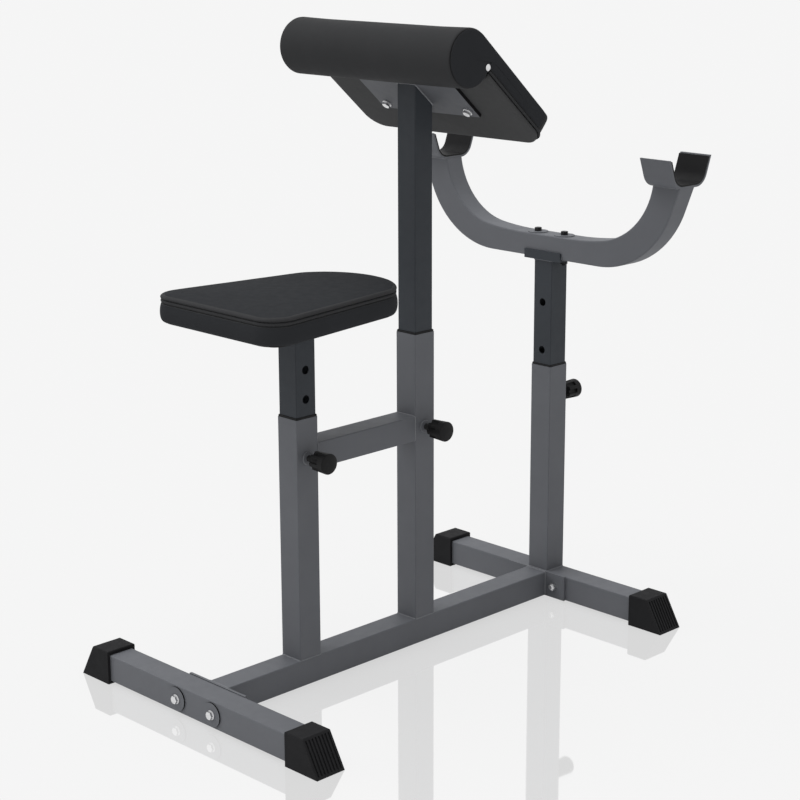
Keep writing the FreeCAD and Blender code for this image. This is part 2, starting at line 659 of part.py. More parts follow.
def seat_outline(sketch, inset):
    rear = f"({inset} - #seat_rear)"
    side_end = "(#seat_side - #seat_rear)"
    rear_half = f"(#seat_rear_width / 2 - {inset})"
    front_half = f"(#seat_front_width / 2 - {inset})"
    rise = f"(#seat_nose - {inset})"
    sweep = f"(({front_half}^2 + {rise}^2) / (2 * {rise}))"
    outline(sketch, [
        (f"-{rear_half}", rear),
        (rear_half, rear),
        (front_half, side_end, sweep),
        ("0", f"{side_end} + {rise}", sweep),
        (f"-{front_half}", side_end),
    ])


body = new_body("seat_board")
sketch = new_sketch(body, "XY_Plane")
seat_outline(sketch, "#seat_board_inset")
pad(body, sketch, "#seat_board_thick")
round_edges(body, "#seat_board_round", lambda edge: upright_edge(edge) and abs(edge.CenterOfMass.x) > 1)
hole_through(body, "XY_Plane", pad_hole, seat_bolts)
place(body, "0", seat_axis, seat_board_under)

# The cushion is two layers with a seam channel between them, then a domed top and rounded edges.
body = new_body("seat_cushion")
for level, thickness, inset in (("0", seat_seam_level, "0"),
                                (seat_seam_level, "#seat_seam_width", "#seat_seam_depth"),
                                (f"({seat_seam_level} + #seat_seam_width)",
                                 "(#seat_seam - #seat_seam_width + 2 * #seat_crown)", "0")):
    sketch = new_sketch(body, "XY_Plane", level)
    seat_outline(sketch, inset)
    pad(body, sketch, thickness)
round_edges(body, "#seat_rear_round", lambda edge: upright_edge(edge) and edge.CenterOfMass.y < -1)
round_edges(body, "#seat_front_round",
            lambda edge: upright_edge(edge) and abs(edge.CenterOfMass.x) > 1 and edge.CenterOfMass.y > 1)
sketch = new_sketch(body, "XZ_Plane")
dome = "((#seat_dome^2 + #seat_crown^2) / (2 * #seat_crown))"
dome_edge = "(#seat_rear + #seat_rear_width / 2)"
dome_low = f"(#seat_height + #seat_crown - {dome} + sqrt({dome}^2 - {dome_edge}^2))"
outline(sketch, [
    (dome_edge, dome_low, dome),
    ("0", "#seat_height + #seat_crown"),
    ("0", "#seat_height + 3 * #seat_crown"),
    (dome_edge, "#seat_height + 3 * #seat_crown"),
])
trim = body.newObject("PartDesign::Groove", "seat_cushion_dome")
trim.Profile = sketch
trim.ReferenceAxis = (sketch, ["V_Axis"])
round_edges(body, "#seat_tuck", lambda edge: level_edge(edge, 0))
top_layer = value(seat_seam_level) + value("#seat_seam_width") + 1
round_edges(body, "#seat_edge", lambda edge: edge.BoundBox.ZMin > top_layer and not upright_edge(edge))
sketch = new_sketch(body, "XY_Plane")
seat_outline(sketch, "(#seat_board_inset - #cover_gap)")
pocket(body, sketch, "#seat_board_thick + #cover_gap", backward=True)
place(body, "0", seat_axis, seat_board_under)

seat_fasteners = []
seat_washers = []
seat_shank = "(#pad_washer_thick + #seat_plate_thick + #seat_board_thick)"
for x, y in seat_bolts:
    seat_fasteners.append(place(bolt("#pad_hex", "#pad_head", "#pad_bolt", seat_shank), x, y))
    seat_washers.append(place(washer("#pad_washer", "#pad_washer_thick", "#pad_bolt"), x, y))
seat_washer_under = f"{seat_plate_under} - #pad_washer_thick"
place(group("seat_bolts", seat_fasteners), "0", seat_axis, seat_washer_under)
place(group("seat_washers", seat_washers), "0", seat_axis, seat_washer_under)

# Arm pad. Its pieces share one frame: origin on the roll's axis, Y down the slope, Z out of the pad.
arm_slope = Rotation(Vector(1, 0, 0), -value("#arm_tilt"))
arm_place = ("0", arm_roll_y, arm_roll_z, arm_slope)
arm_bolts = four("(#arm_plate_width / 2 - #arm_bolt_side)", "(#arm_plate_length / 2 - #arm_bolt_end)",
                 f"({arm_plate_middle} - #arm_bolt_shift)")
body = new_body("arm_plate")
sketch = new_sketch(body, "XY_Plane")
rectangle(sketch, "-#arm_plate_width / 2", "#arm_plate_width / 2",
          f"{arm_plate_middle} - #arm_plate_length / 2", f"{arm_plate_middle} + #arm_plate_length / 2")
for x, y in arm_bolts:
    circle(sketch, pad_hole, x, y)
pad(body, sketch, "#arm_plate_thick", backward=True)
place(body, *arm_place)

body = new_body("arm_board")
board_half = "(#arm_width / 2 - #arm_board_inset)"
board_end = "(#arm_length - #arm_board_inset)"
board_round = "(#arm_round - #arm_board_inset)"
sketch = new_sketch(body, "XY_Plane")
outline(sketch, [
    (f"-{board_half}", "#arm_roll / 2 + #cover_gap"),
    (board_half, "#arm_roll / 2 + #cover_gap"),
    (board_half, f"{board_end} - {board_round}", board_round),
    (f"{board_half} - {board_round}", board_end),
    (f"{board_round} - {board_half}", board_end, board_round),
    (f"-{board_half}", f"{board_end} - {board_round}"),
])
pad(body, sketch, "#arm_board_thick")
board_start = value("#arm_roll / 2 + #cover_gap") + 1
round_edges(body, "#arm_board_edge", lambda edge: level_edge(edge, 0) and edge.CenterOfMass.y > board_start)
hole_through(body, "XY_Plane", pad_hole, arm_bolts)
place(body, *arm_place)

# The cushion is one form: a roll that runs out into a flat slab on the board. It is lofted across the
# bench through sections that draw in towards its side panels and round the corners of its lower end.
body = new_body("arm_cushion")


def arm_section(depth, inset, sign):
    sketch = new_sketch(body, "YZ_Plane", f"{sign}1 * (#arm_width / 2 - {depth})")
    roll = f"(#arm_roll / 2 - {inset})"
    under = f"(#arm_board_thick + {inset})"
    tip = f"(#arm_length - #arm_round + sqrt(#arm_round^2 - (#arm_round - {depth})^2))"
    outline(sketch, [
        ("0", roll, roll),
        (f"-{roll}", "0", roll),
        ("0", f"-{roll}", roll),
        (f"sqrt({roll}^2 - {under}^2)", under),
        (tip, under),
        (tip, f"{roll} - #arm_thin * {tip} / #arm_length"),
    ])
    return sketch


drawn_in = [("0", "#arm_edge"), ("(0.3 * #arm_edge)", "(0.29 * #arm_edge)"), ("#arm_edge", "0"),
            ("(0.3 * #arm_round)", "0"), ("(0.6 * #arm_round)", "0"), ("#arm_round", "0")]
sections = [arm_section(depth, inset, "-") for depth, inset in drawn_in]
sections += [arm_section(depth, inset, "") for depth, inset in reversed(drawn_in)]
loft = body.newObject("PartDesign::AdditiveLoft", "arm_cushion_loft")
loft.Profile = sections[0]
loft.Sections = sections[1:]
loft.Ruled = True
place(body, *arm_place)

arm_fasteners = []
arm_washers = []
arm_shank = "(#pad_washer_thick + #arm_plate_thick + #arm_board_thick)"
arm_washer_under = "-(#arm_plate_thick + #pad_washer_thick)"
for x, y in arm_bolts:
    fastener = bolt("#pad_hex", "#pad_head", "#pad_bolt", arm_shank)
    arm_fasteners.append(place(fastener, x, y, arm_washer_under))
    ring = washer("#pad_washer", "#pad_washer_thick", "#pad_bolt")
    arm_washers.append(place(ring, x, y, arm_washer_under))
place(group("arm_bolts", arm_fasteners), *arm_place)
place(group("arm_washers", arm_washers), *arm_place)

# Domed tacks in the side panels of the arm pad.
tacks = []
tack_ball = "(((#tack / 2)^2 + #tack_rise^2) / (2 * #tack_rise))"
for side, turn in (("", along_x), ("-", Rotation(Vector(0, 1, 0), -90))):
    ball = doc.addObject("Part::Sphere", "tack")
    bind(ball, "Radius", tack_ball)
    bind(ball, "Angle1", f"asin(({tack_ball} - #tack_rise) / {tack_ball})")
    sink = f"{side}1 * (#arm_width / 2 - ({tack_ball} - #tack_rise))"
    tacks.append(place(ball, sink, "#tack_along", "#tack_above", turn))
place(group("arm_tacks", tacks), *arm_place)

# Rack: cradle on the post, bent bar in the cradle.
rack_bolt_half = "(#cradle_length / 2 - #rack_bolt_margin)"
rack_bolts = pair(rack_bolt_half)
body = new_body("rack_cradle")
seat_half = "(#bar_side / 2 + #bar_play)"
wall_half = f"({seat_half} + #cradle_thick)"
wall_top = "(#cradle_thick + #cradle_wall)"
sketch = new_sketch(body, "YZ_Plane")
outline(sketch, [
    (f"-{wall_half}", "0"),
    (wall_half, "0"),
    (wall_half, wall_top),
    (seat_half, wall_top),
    (seat_half, "#cradle_thick"),
    (f"-{seat_half}", "#cradle_thick"),
    (f"-{seat_half}", wall_top),
    (f"-{wall_half}", wall_top),
])
pad(body, sketch, "#cradle_length", symmetric=True)
hole_through(body, "XY_Plane", pad_hole, rack_bolts)
place(body, "0", front_axis, cradle_under)

# The bar: a level middle and two arms, pressed a little deeper where they bend.
bar_half = "(#bar_middle / 2)"
bar_turn = "(#bar_outer_turn * 1 deg)"
lead_turn = "(#bar_lead_turn * 1 deg)"
bar_room = "(#bar_side - 2 * #bar_wall)"
middle = new_body("rack_bar_middle")
parts.remove(middle)
sketch = new_sketch(middle, "YZ_Plane")
rounded(sketch, "#bar_side", "#bar_side", "#bar_corner", "(#bar_side / 2)")
rounded(sketch, bar_room, bar_room, "(#bar_corner - #bar_wall)", "(#bar_side / 2)")
pad(middle, sketch, "#bar_middle", symmetric=True)
hole_through(middle, "XY_Plane", pad_hole, rack_bolts)


# Side view of an arm, drawn in by the skin. The ends go on by the reach.
def bar_arm_outline(sketch, skin, reach):
    outer = f"(#bar_outer_bend - {skin})"
    outer_x = f"(#bar_keel / 2 + {outer} * sin{bar_turn})"
    outer_z = f"(#bar_outer_bend - {outer} * cos{bar_turn})"
    top = f"(#bar_rise + {reach})"
    inner = f"(#bar_inner_bend + {skin})"
    lead = f"(#bar_lead + {skin})"
    inner_x = f"({bar_half} + (#bar_lead - #bar_inner_bend) * sin{lead_turn})"
    inner_z = f"(#bar_side + #bar_lead - (#bar_lead - #bar_inner_bend) * cos{lead_turn})"
    outline(sketch, [
        (f"{bar_half} - {reach}", skin),
        ("#bar_keel / 2", skin, outer),
        (outer_x, outer_z),
        (f"{outer_x} + ({top} - {outer_z}) / tan{bar_turn}", top),
        (f"{inner_x} + sqrt({inner}^2 - ({inner_z} - {top})^2)", top, f"-{inner}"),
        (f"{bar_half} + {lead} * sin{lead_turn}", f"#bar_side + #bar_lead - {lead} * cos{lead_turn}", f"-{lead}"),
        (bar_half, f"#bar_side - {skin}"),
    ] + ([(f"{bar_half} - {reach}", f"#bar_side - {skin}")] if value(reach) else []))


def bar_long_edge(edge):
    box = edge.BoundBox
    on_side = box.YLength < 1e-6 and abs(abs(box.YMin) - value("#bar_side") / 2) < 1e-3
    return on_side and box.XLength > 1e-3 and box.ZMin < value("#bar_rise") - 1e-3


arms = []
for turn in (upright, half_turn):
    arm = new_body("rack_bar_arm")
    parts.remove(arm)
    sketch = new_sketch(arm, "XZ_Plane")
    bar_arm_outline(sketch, "0", "0")
    pad(arm, sketch, "#bar_side", symmetric=True)
    round_edges(arm, "#bar_corner", bar_long_edge)
    sketch = new_sketch(arm, "XZ_Plane")
    bar_arm_outline(sketch, "#bar_wall", "1")
    pocket(arm, sketch, bar_room, symmetric=True)
    arms.append(place(arm, turn=turn))
place(group("rack_bar", [middle] + arms), "0", front_axis, bar_under)


# A bent strip of the cup's form, between two offsets from the cup's outer surface.
def cup_strip(body, near, far, top):
    tangent = "(#cup_bend * tan((90 deg - #cup_flare * 1 deg) / 2))"
    tilt = "(#cup_flare * 1 deg)"
    flat = f"(#cup_floor / 2 - {tangent})"

    def wing(offset):
        return (f"(#cup_floor / 2 + {tangent} * sin{tilt} - {offset} * cos{tilt})",
                f"({tangent} * cos{tilt} + {offset} * sin{tilt})")

    def edge(offset):
        return f"(#cup_floor / 2 + {top} * tan{tilt} - {offset} / cos{tilt})"

    outer = wing(near)
    inner = wing(far)
    outside = f"(#cup_bend - {near})"
    inside = f"(#cup_bend - {far})"
    sketch = new_sketch(body, "YZ_Plane")
    outline(sketch, [
        (f"-{edge(near)}", top),
        (f"-{outer[0]}", outer[1], outside),
        (f"-{flat}", near),
        (flat, near, outside),
        outer,
        (edge(near), top),
        (edge(far), top),
        (inner[0], inner[1], f"-{inside}"),
        (flat, far),
        (f"-{flat}", far, f"-{inside}"),
        (f"-{inner[0]}", inner[1]),
        (f"-{edge(far)}", top),
    ])
    pad(body, sketch, "#cup_length", symmetric=True)


liner_near = "(#cup_thick + #liner_play)"
for side, sign in (("left", "-"), ("right", "")):
    body = new_body(side + "_bar_cup")
    cup_strip(body, "0", "#cup_thick", "#cup_height")
    place(body, f"{sign}{cup_middle}", front_axis, cup_under)
    body = new_body(side + "_cup_liner")
    cup_strip(body, liner_near, f"({liner_near} + #liner_thick)", "(#cup_height - #liner_drop)")
    place(body, f"{sign}{cup_middle}", front_axis, cup_under)

rack_fasteners = []
rack_washers = []
rack_nuts = []
rack_shank = "(#rack_washer_thick + #bar_side + #cradle_thick + #rack_nut + #bolt_tail)"
for x, y in rack_bolts:
    rack_fasteners.append(place(bolt("#pad_hex", "#rack_head", "#pad_bolt", rack_shank), x))
    rack_washers.append(place(washer("#rack_washer", "#rack_washer_thick", "#pad_bolt"), x))
    rack_nuts.append(place(nut("#pad_hex", "#rack_nut", "#pad_bolt"), x))
bar_top = f"({bar_under} + #bar_side + #rack_washer_thick)"
place(group("rack_bolts", rack_fasteners), "0", front_axis, bar_top, downward)
place(group("rack_washers", rack_washers), "0", front_axis, bar_top, downward)
place(group("rack_nuts", rack_nuts), "0", front_axis, cradle_under, downward)

doc.recompute()
for item in doc.Objects:
    if "Invalid" in item.State or "Error" in item.State:
        raise RuntimeError(f"{item.Name} did not build: {item.getStatusString()}")
for item in parts:
    if item.Shape.isNull() or not item.Shape.isValid():
        raise RuntimeError(f"{item.Label} has no valid shape")

os.makedirs("parts", exist_ok=True)
for item in parts:
    item.Shape.exportStep(f"parts/{item.Label}.step")
    print(item.Label, len(item.Shape.Solids), round(item.Shape.Volume))
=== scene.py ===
import json
import math

import bmesh
import bpy
import numpy as np
from mathutils import Matrix, Vector, noise


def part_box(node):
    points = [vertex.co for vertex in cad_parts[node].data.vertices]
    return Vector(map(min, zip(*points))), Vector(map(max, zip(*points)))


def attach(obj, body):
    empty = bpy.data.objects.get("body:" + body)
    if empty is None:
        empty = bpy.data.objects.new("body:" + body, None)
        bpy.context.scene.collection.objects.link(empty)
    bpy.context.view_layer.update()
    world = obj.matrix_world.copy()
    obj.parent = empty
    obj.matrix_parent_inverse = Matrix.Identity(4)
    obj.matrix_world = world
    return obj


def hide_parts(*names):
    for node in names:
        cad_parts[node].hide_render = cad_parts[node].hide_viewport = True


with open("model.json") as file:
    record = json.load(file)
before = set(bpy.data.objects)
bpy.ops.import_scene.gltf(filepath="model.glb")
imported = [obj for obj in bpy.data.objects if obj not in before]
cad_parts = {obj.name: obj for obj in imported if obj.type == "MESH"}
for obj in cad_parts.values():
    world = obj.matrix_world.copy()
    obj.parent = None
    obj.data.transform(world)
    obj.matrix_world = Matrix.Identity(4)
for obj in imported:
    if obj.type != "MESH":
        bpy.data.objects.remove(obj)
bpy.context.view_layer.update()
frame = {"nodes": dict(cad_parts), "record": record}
nodes = frame["nodes"]
scene = bpy.context.scene
scene.view_settings.view_transform = "Standard"
print("frame loaded,", len(nodes), "nodes")


def addNode(tree, kind, **inputs):
    node = tree.nodes.new(kind)
    for name, value in inputs.items():
        if name in node.bl_rna.properties:
            setattr(node, name, value)
        else:
            node.inputs[name.replace("_", " ")].default_value = value
    return node


def join(tree, source, socket, target, name):
    tree.links.new(source.outputs[socket], target.inputs[name])


def joinAll(tree, *links):
    for link in links:
        join(tree, *link)


def placed(name, data):
    thing = bpy.data.objects.new(name, data)
    scene.collection.objects.link(thing)
    return thing


def newFinish(name, colour, roughness, metallic=0.0, specular=0.5):
    material = bpy.data.materials.new(name)
    material.use_nodes = True
    material.diffuse_color = (*colour, 1)
    tree = material.node_tree
    shader = tree.nodes["Principled BSDF"]
    shader.inputs["Base Color"].default_value = (*colour, 1)
    shader.inputs["Roughness"].default_value = roughness
    shader.inputs["Metallic"].default_value = metallic
    shader.inputs["Specular IOR Level"].default_value = specular
    place = addNode(tree, "ShaderNodeTexCoord")
    return material, tree, shader, place


# colour or roughness that drifts between two values over the surface
def vary(tree, shader, place, socket, scale, low, high, detail=3.0, stretch=None):
    grain = addNode(tree, "ShaderNodeTexNoise", Scale=scale, Detail=detail, Roughness=0.55)
    if stretch:
        turn = addNode(tree, "ShaderNodeMapping")
        turn.inputs["Scale"].default_value = stretch
        join(tree, place, "Object", turn, "Vector")
        join(tree, turn, "Vector", grain, "Vector")
    else:
        join(tree, place, "Object", grain, "Vector")
    ramp = addNode(tree, "ShaderNodeValToRGB")
    ramp.color_ramp.elements[0].position = 0.3
    ramp.color_ramp.elements[1].position = 0.7
    first, last = (low, high) if hasattr(low, "__len__") else ((low,) * 3, (high,) * 3)
    ramp.color_ramp.elements[0].color = (*first, 1)
    ramp.color_ramp.elements[1].color = (*last, 1)
    join(tree, grain, "Fac", ramp, "Fac")
    join(tree, ramp, "Color", shader, socket)


# layers of bump, each (kind, scale, strength, height in metres)
def roughen(tree, shader, layers, place):
    last = None
    for kind, scale, strength, distance in layers:
        if kind == "cells":
            grain = addNode(tree, "ShaderNodeTexVoronoi", Scale=scale, feature="SMOOTH_F1")
            grain.inputs["Smoothness"].default_value = 0.6
            out = "Distance"
        else:
            grain = addNode(tree, "ShaderNodeTexNoise", Scale=scale, Detail=2.0, Roughness=0.5)
            out = "Fac"
        join(tree, place, "Object", grain, "Vector")
        bump = addNode(tree, "ShaderNodeBump", Strength=strength, Distance=distance)
        join(tree, grain, out, bump, "Height")
        if last:
            join(tree, last, "Normal", bump, "Normal")
        last = bump
    join(tree, last, "Normal", shader, "Normal")


def shades(colour, spread):
    return tuple(c * (1 - spread) for c in colour), tuple(c * (1 + spread) for c in colour)


# finishes, one for each slot of the record
coat = {"framePaint": (0.114, 0.1185, 0.130), "postPaint": (0.034, 0.0385, 0.045),
        "weldHighlightPaint": (0.17, 0.175, 0.187), "rough": (0.50, 0.60), "specular": 0.19,
        "peelScale": 420.0, "peelHeight": 0.0001}


def powderCoat(name, colour):
    material, tree, shader, place = newFinish(name, colour, 0.5, specular=coat["specular"])
    vary(tree, shader, place, "Base Color", 9.0, *shades(colour, 0.04))
    vary(tree, shader, place, "Roughness", 60.0, *coat["rough"])
    roughen(tree, shader, [("noise", coat["peelScale"], 0.22, coat["peelHeight"]),
                           ("noise", 2600.0, 0.2, 0.00004)], place)
    return material


framePaint = powderCoat("framePaint", coat["framePaint"])
# the weld paint is a lighter copy of the frame paint: a painted highlight along the welds
weldHighlightPaint = powderCoat("weldHighlightPaint", coat["weldHighlightPaint"])
postPaint = powderCoat("postPaint", coat["postPaint"])

blackSteel, tree, shader, place = newFinish("blackSteel", (0.012, 0.012, 0.013), 0.42,
                                            metallic=0.3, specular=0.3)
vary(tree, shader, place, "Roughness", 240.0, 0.38, 0.52)
roughen(tree, shader, [("noise", 900.0, 0.2, 0.0001)], place)

zinc, tree, shader, place = newFinish("zinc", (0.35, 0.36, 0.37), 0.34, metallic=1.0)
vary(tree, shader, place, "Base Color", 130.0, (0.30, 0.31, 0.32), (0.42, 0.43, 0.44))
vary(tree, shader, place, "Roughness", 500.0, 0.28, 0.42)
roughen(tree, shader, [("noise", 1500.0, 0.15, 0.00005)], place)

brightZinc = zinc.copy()
brightZinc.name = "brightZinc"
ramp = brightZinc.node_tree.nodes["Principled BSDF"].inputs["Base Color"].links[0].from_node
for stop, tone in zip(ramp.color_ramp.elements, (0.66, 0.8)):
    stop.color = (tone, tone, tone * 1.01, 1)


def mouldedPlastic(name, colour, rough, specular):
    material, tree, shader, place = newFinish(name, colour, rough[0], specular=specular)
    vary(tree, shader, place, "Base Color", 14.0, *shades(colour, 0.08))
    vary(tree, shader, place, "Roughness", 90.0, *rough)
    roughen(tree, shader, [("cells", 1400.0, 0.25, 0.00012), ("noise", 420.0, 0.15, 0.0001)], place)
    return material


capPlastic = mouldedPlastic("capPlastic", (0.0165, 0.0165, 0.0175), (0.55, 0.68), 0.05)
bushPlastic = mouldedPlastic("bushPlastic", (0.009, 0.009, 0.0095), (0.5, 0.6), 0.15)
gripPlastic = mouldedPlastic("gripPlastic", (0.0095, 0.0095, 0.010), (0.5, 0.62), 0.15)

skin = {"spread": 0.03, "grainScale": 900.0, "creaseScale": 260.0}
# tone, roughness and gloss of each cover: rolled cover, flat seat top, side panels, board; the first three
# are one black vinyl, painted lighter on the rolled cover as a painted highlight and darker on the seat top
# and side panels as painted shade
covers = {"vinyl": ((0.0345, 0.0350, 0.0364), (0.58, 0.66), 0.03),
          "seatTopShadeVinyl": ((0.0235, 0.0247, 0.0270), (0.66, 0.76), 0.02),
          "sidePanelShadeVinyl": ((0.0252, 0.0264, 0.0288), (0.62, 0.72), 0.02),
          "boardVinyl": ((0.055, 0.0555, 0.0565), (0.62, 0.72), 0.03)}


def upholsteryVinyl(name):
    colour, rough, specular = covers[name]
    material, tree, shader, place = newFinish(name, colour, rough[0], specular=specular)
    vary(tree, shader, place, "Base Color", 11.0, *shades(colour, skin["spread"]))
    vary(tree, shader, place, "Roughness", 70.0, *rough)
    roughen(tree, shader, [("cells", skin["grainScale"], 0.14, 0.00016),
                           ("noise", skin["creaseScale"], 0.06, 0.00015)], place)
    return material


vinyl, seatTopShadeVinyl, sidePanelShadeVinyl, boardVinyl = [upholsteryVinyl(name) for name in covers]

thread, tree, shader, place = newFinish("thread", (0.014, 0.014, 0.015), 0.7, specular=0.15)
vary(tree, shader, place, "Base Color", 900.0, (0.011, 0.011, 0.012), (0.018, 0.018, 0.019))

# the seat's plywood, stained black
plywood, tree, shader, place = newFinish("plywood", (0.020, 0.018, 0.016), 0.65, specular=0.1)
vary(tree, shader, place, "Base Color", 16.0, (0.015, 0.0135, 0.012), (0.026, 0.0235, 0.021),
     detail=6.0, stretch=(1.0, 14.0, 60.0))
roughen(tree, shader, [("noise", 300.0, 0.3, 0.0003)], place)

finishes = {"frame_paint": framePaint, "post_paint": postPaint, "black_steel": blackSteel, "zinc": zinc,
            "cap_plastic": capPlastic, "bush_plastic": bushPlastic, "grip_plastic": gripPlastic,
            "vinyl": vinyl, "plywood": plywood, "covered_board": boardVinyl}
for part in frame["record"]["subparts"]:
    mesh = nodes[part["node"]].data
    mesh.materials.clear()
    mesh.materials.append(finishes[part["material_slot"]])

# painted shade: the arm plate's paint is darker overall, and the cut side edges of the arm plate and the
# rims of the large base washers are dark
edges = {"plateHalf": 0.121, "plateEdge": 0.0003, "plateShadeTone": 0.8, "rimFacing": 0.6,
         "dark": (0.006, 0.006, 0.0065, 1)}


# frame paint, its tone scaled, that turns dark where its place or facing along an axis is past a limit:
# painted shade
def paintedShadeEdges(name, source, axis, operation, limit, tone):
    material = framePaint.copy()
    material.name = name
    tree = material.node_tree
    shader = tree.nodes["Principled BSDF"]
    place = addNode(tree, "ShaderNodeTexCoord")
    apart = tree.nodes.new("ShaderNodeSeparateXYZ")
    far = addNode(tree, "ShaderNodeMath", operation="ABSOLUTE")
    edge = addNode(tree, "ShaderNodeMath", operation=operation)
    edge.inputs[1].default_value = limit
    ramp = shader.inputs["Base Color"].links[0].from_node
    for stop in ramp.color_ramp.elements:
        stop.color = [c * tone for c in stop.color[:3]] + [1]
    mix = addNode(tree, "ShaderNodeMix", data_type="RGBA")
    mix.inputs[7].default_value = edges["dark"]
    joinAll(tree, (place, source, apart, "Vector"), (apart, axis, far, 0), (far, 0, edge, 0),
            (edge, 0, mix, "Factor"), (ramp, "Color", mix, 6), (mix, 2, shader, "Base Color"))
    return material


plateLimit = edges["plateHalf"] - edges["plateEdge"]
# painted shade on the arm plate: the whole plate darker, as in the pad's shadow, and its side faces dark
platePaint = paintedShadeEdges("platePaint", "Object", "X", "GREATER_THAN", plateLimit, edges["plateShadeTone"])
# painted shade on the rims of the base washers: faces that don't face along Y turn dark
rimPaint = paintedShadeEdges("rimPaint", "Normal", "Y", "LESS_THAN", edges["rimFacing"], 1.0)
repainted = {"arm_plate": platePaint, "rear_base_washers": rimPaint, "front_base_washers": rimPaint,
             "arm_washers": brightZinc, "seat_washers": brightZinc, "arm_tacks": brightZinc}
for name, paint in repainted.items():
    nodes[name].data.materials[0] = paint
print("finishes set")


def newPiece(name, verts, faces, material, smooth=True):
    mesh = bpy.data.meshes.new(name)
    mesh.from_pydata([tuple(v) for v in verts], [], faces)
    shape = bmesh.new()
    shape.from_mesh(mesh)
    bmesh.ops.remove_doubles(shape, verts=shape.verts, dist=1e-6)
    bmesh.ops.recalc_face_normals(shape, faces=shape.faces)
    shape.to_mesh(mesh)
    shape.free()
    mesh.materials.append(material)
    mesh.polygons.foreach_set("use_smooth", [smooth] * len(mesh.polygons))
    return placed(name, mesh)


# gives the faces that a test picks another cover
def recover(piece, material, picks):
    piece.data.materials.append(material)
    index = len(piece.data.materials) - 1
    for face in piece.data.polygons:
        if picks(face):
            face.material_index = index


def ringFaces(rings, count, closed=True):
    faces = []
    for r in range(rings - 1):
        for i in range(count if closed else count - 1):
            j = (i + 1) % count
            faces.append((r * count + i, r * count + j, (r + 1) * count + j, (r + 1) * count + i))
    return faces


def points(piece, field="co"):
    values = np.zeros(len(piece.data.vertices) * 3)
    piece.data.vertices.foreach_get(field, values)
    return values.reshape(-1, 3)


def setPoints(piece, co):
    piece.data.vertices.foreach_set("co", np.asarray(co, np.float32).ravel())
    piece.data.update()


# settings of the covers' cloth, and how often its movement is smoothed
cover = {"quality": 6, "mass": 0.2, "tension_stiffness": 30, "compression_stiffness": 30,
         "shear_stiffness": 12, "bending_stiffness": 6, "use_pressure": True, "vertex_group_mass": "sewn"}
smoothing = 30


# swells a sewn cover like foam under vinyl; held points stay, no point moves further than the cap
def puff(piece, held, pressure, cap, steps=20):
    start = points(piece)
    sewn = piece.vertex_groups.new(name="sewn")
    sewn.add([int(i) for i in held], 1.0, "REPLACE")
    cloth = piece.modifiers.new("cloth", "CLOTH")
    for name, value in cover.items():
        setattr(cloth.settings, name, value)
    cloth.settings.uniform_pressure_force = pressure
    cloth.settings.effector_weights.gravity = 0
    cloth.collision_settings.use_collision = False
    cloth.point_cache.frame_end = steps
    for step in range(1, steps + 1):
        scene.frame_set(step)
    graph = bpy.context.evaluated_depsgraph_get()
    co = points(piece.evaluated_get(graph))
    piece.modifiers.remove(cloth)
    piece.vertex_groups.remove(sewn)
    scene.frame_set(1)
    step = co - start
    ends = np.zeros(len(piece.data.edges) * 2, int)
    piece.data.edges.foreach_get("vertices", ends)
    ends = ends.reshape(-1, 2)
    both = np.concatenate([ends, ends[:, ::-1]])
    near = np.bincount(both[:, 0], minlength=len(step)).reshape(-1, 1)
    for turn in range(smoothing):
        sums = [np.bincount(both[:, 0], step[both[:, 1], k], len(step)) for k in range(3)]
        around = np.stack(sums, axis=1)
        step = (step + around / near) / 2
        step[held] = 0
    far = np.linalg.norm(step, axis=1, keepdims=True)
    step *= np.minimum(1, cap / np.maximum(far, 1e-9))
    setPoints(piece, start + step)
    most = float(np.linalg.norm(step, axis=1).max()) * 1000
    print(piece.name, "swelled by", round(most, 2), "mm at most")


# slow unevenness of foam under a cover
def settle(piece, held, height, scale):
    co = points(piece)
    normals = points(piece, "normal")
    fixed = set(int(i) for i in held)
    for i, p in enumerate(co):
        if i not in fixed:
            co[i] += normals[i] * height * noise.noise(Vector(p) * scale)
    setPoints(piece, co)


def subdivide(piece):
    smooth = piece.modifiers.new("smooth", "SUBSURF")
    smooth.levels = smooth.render_levels = 1


def chosen(piece, wanted):
    return [i for i, p in enumerate(points(piece)) if wanted(p)]


# node trees for what repeats or follows a path
def newTree(name, sockets):
    tree = bpy.data.node_groups.new(name, "GeometryNodeTree")
    tree.interface.new_socket("Geometry", in_out="INPUT", socket_type="NodeSocketGeometry")
    names = {}
    for label, value in sockets.items():
        if value is None:
            kind = "NodeSocketObject"
        else:
            kind = "NodeSocketInt" if isinstance(value, int) else "NodeSocketFloat"
        socket = tree.interface.new_socket(label, in_out="INPUT", socket_type=kind)
        if value is not None:
            socket.default_value = value
        names[label] = socket.identifier
    tree.interface.new_socket("Geometry", in_out="OUTPUT", socket_type="NodeSocketGeometry")
    given = tree.nodes.new("NodeGroupInput")
    made = tree.nodes.new("NodeGroupOutput")
    return tree, names, given, made


def finishTree(tree, source, socket, made, material):
    real = tree.nodes.new("GeometryNodeRealizeInstances")
    shade = tree.nodes.new("GeometryNodeSetShadeSmooth")
    paint = tree.nodes.new("GeometryNodeSetMaterial")
    paint.inputs["Material"].default_value = material
    joinAll(tree, (source, socket, real, "Geometry"), (real, "Geometry", shade, "Geometry"),
            (shade, "Geometry", paint, "Geometry"), (paint, "Geometry", made, "Geometry"))


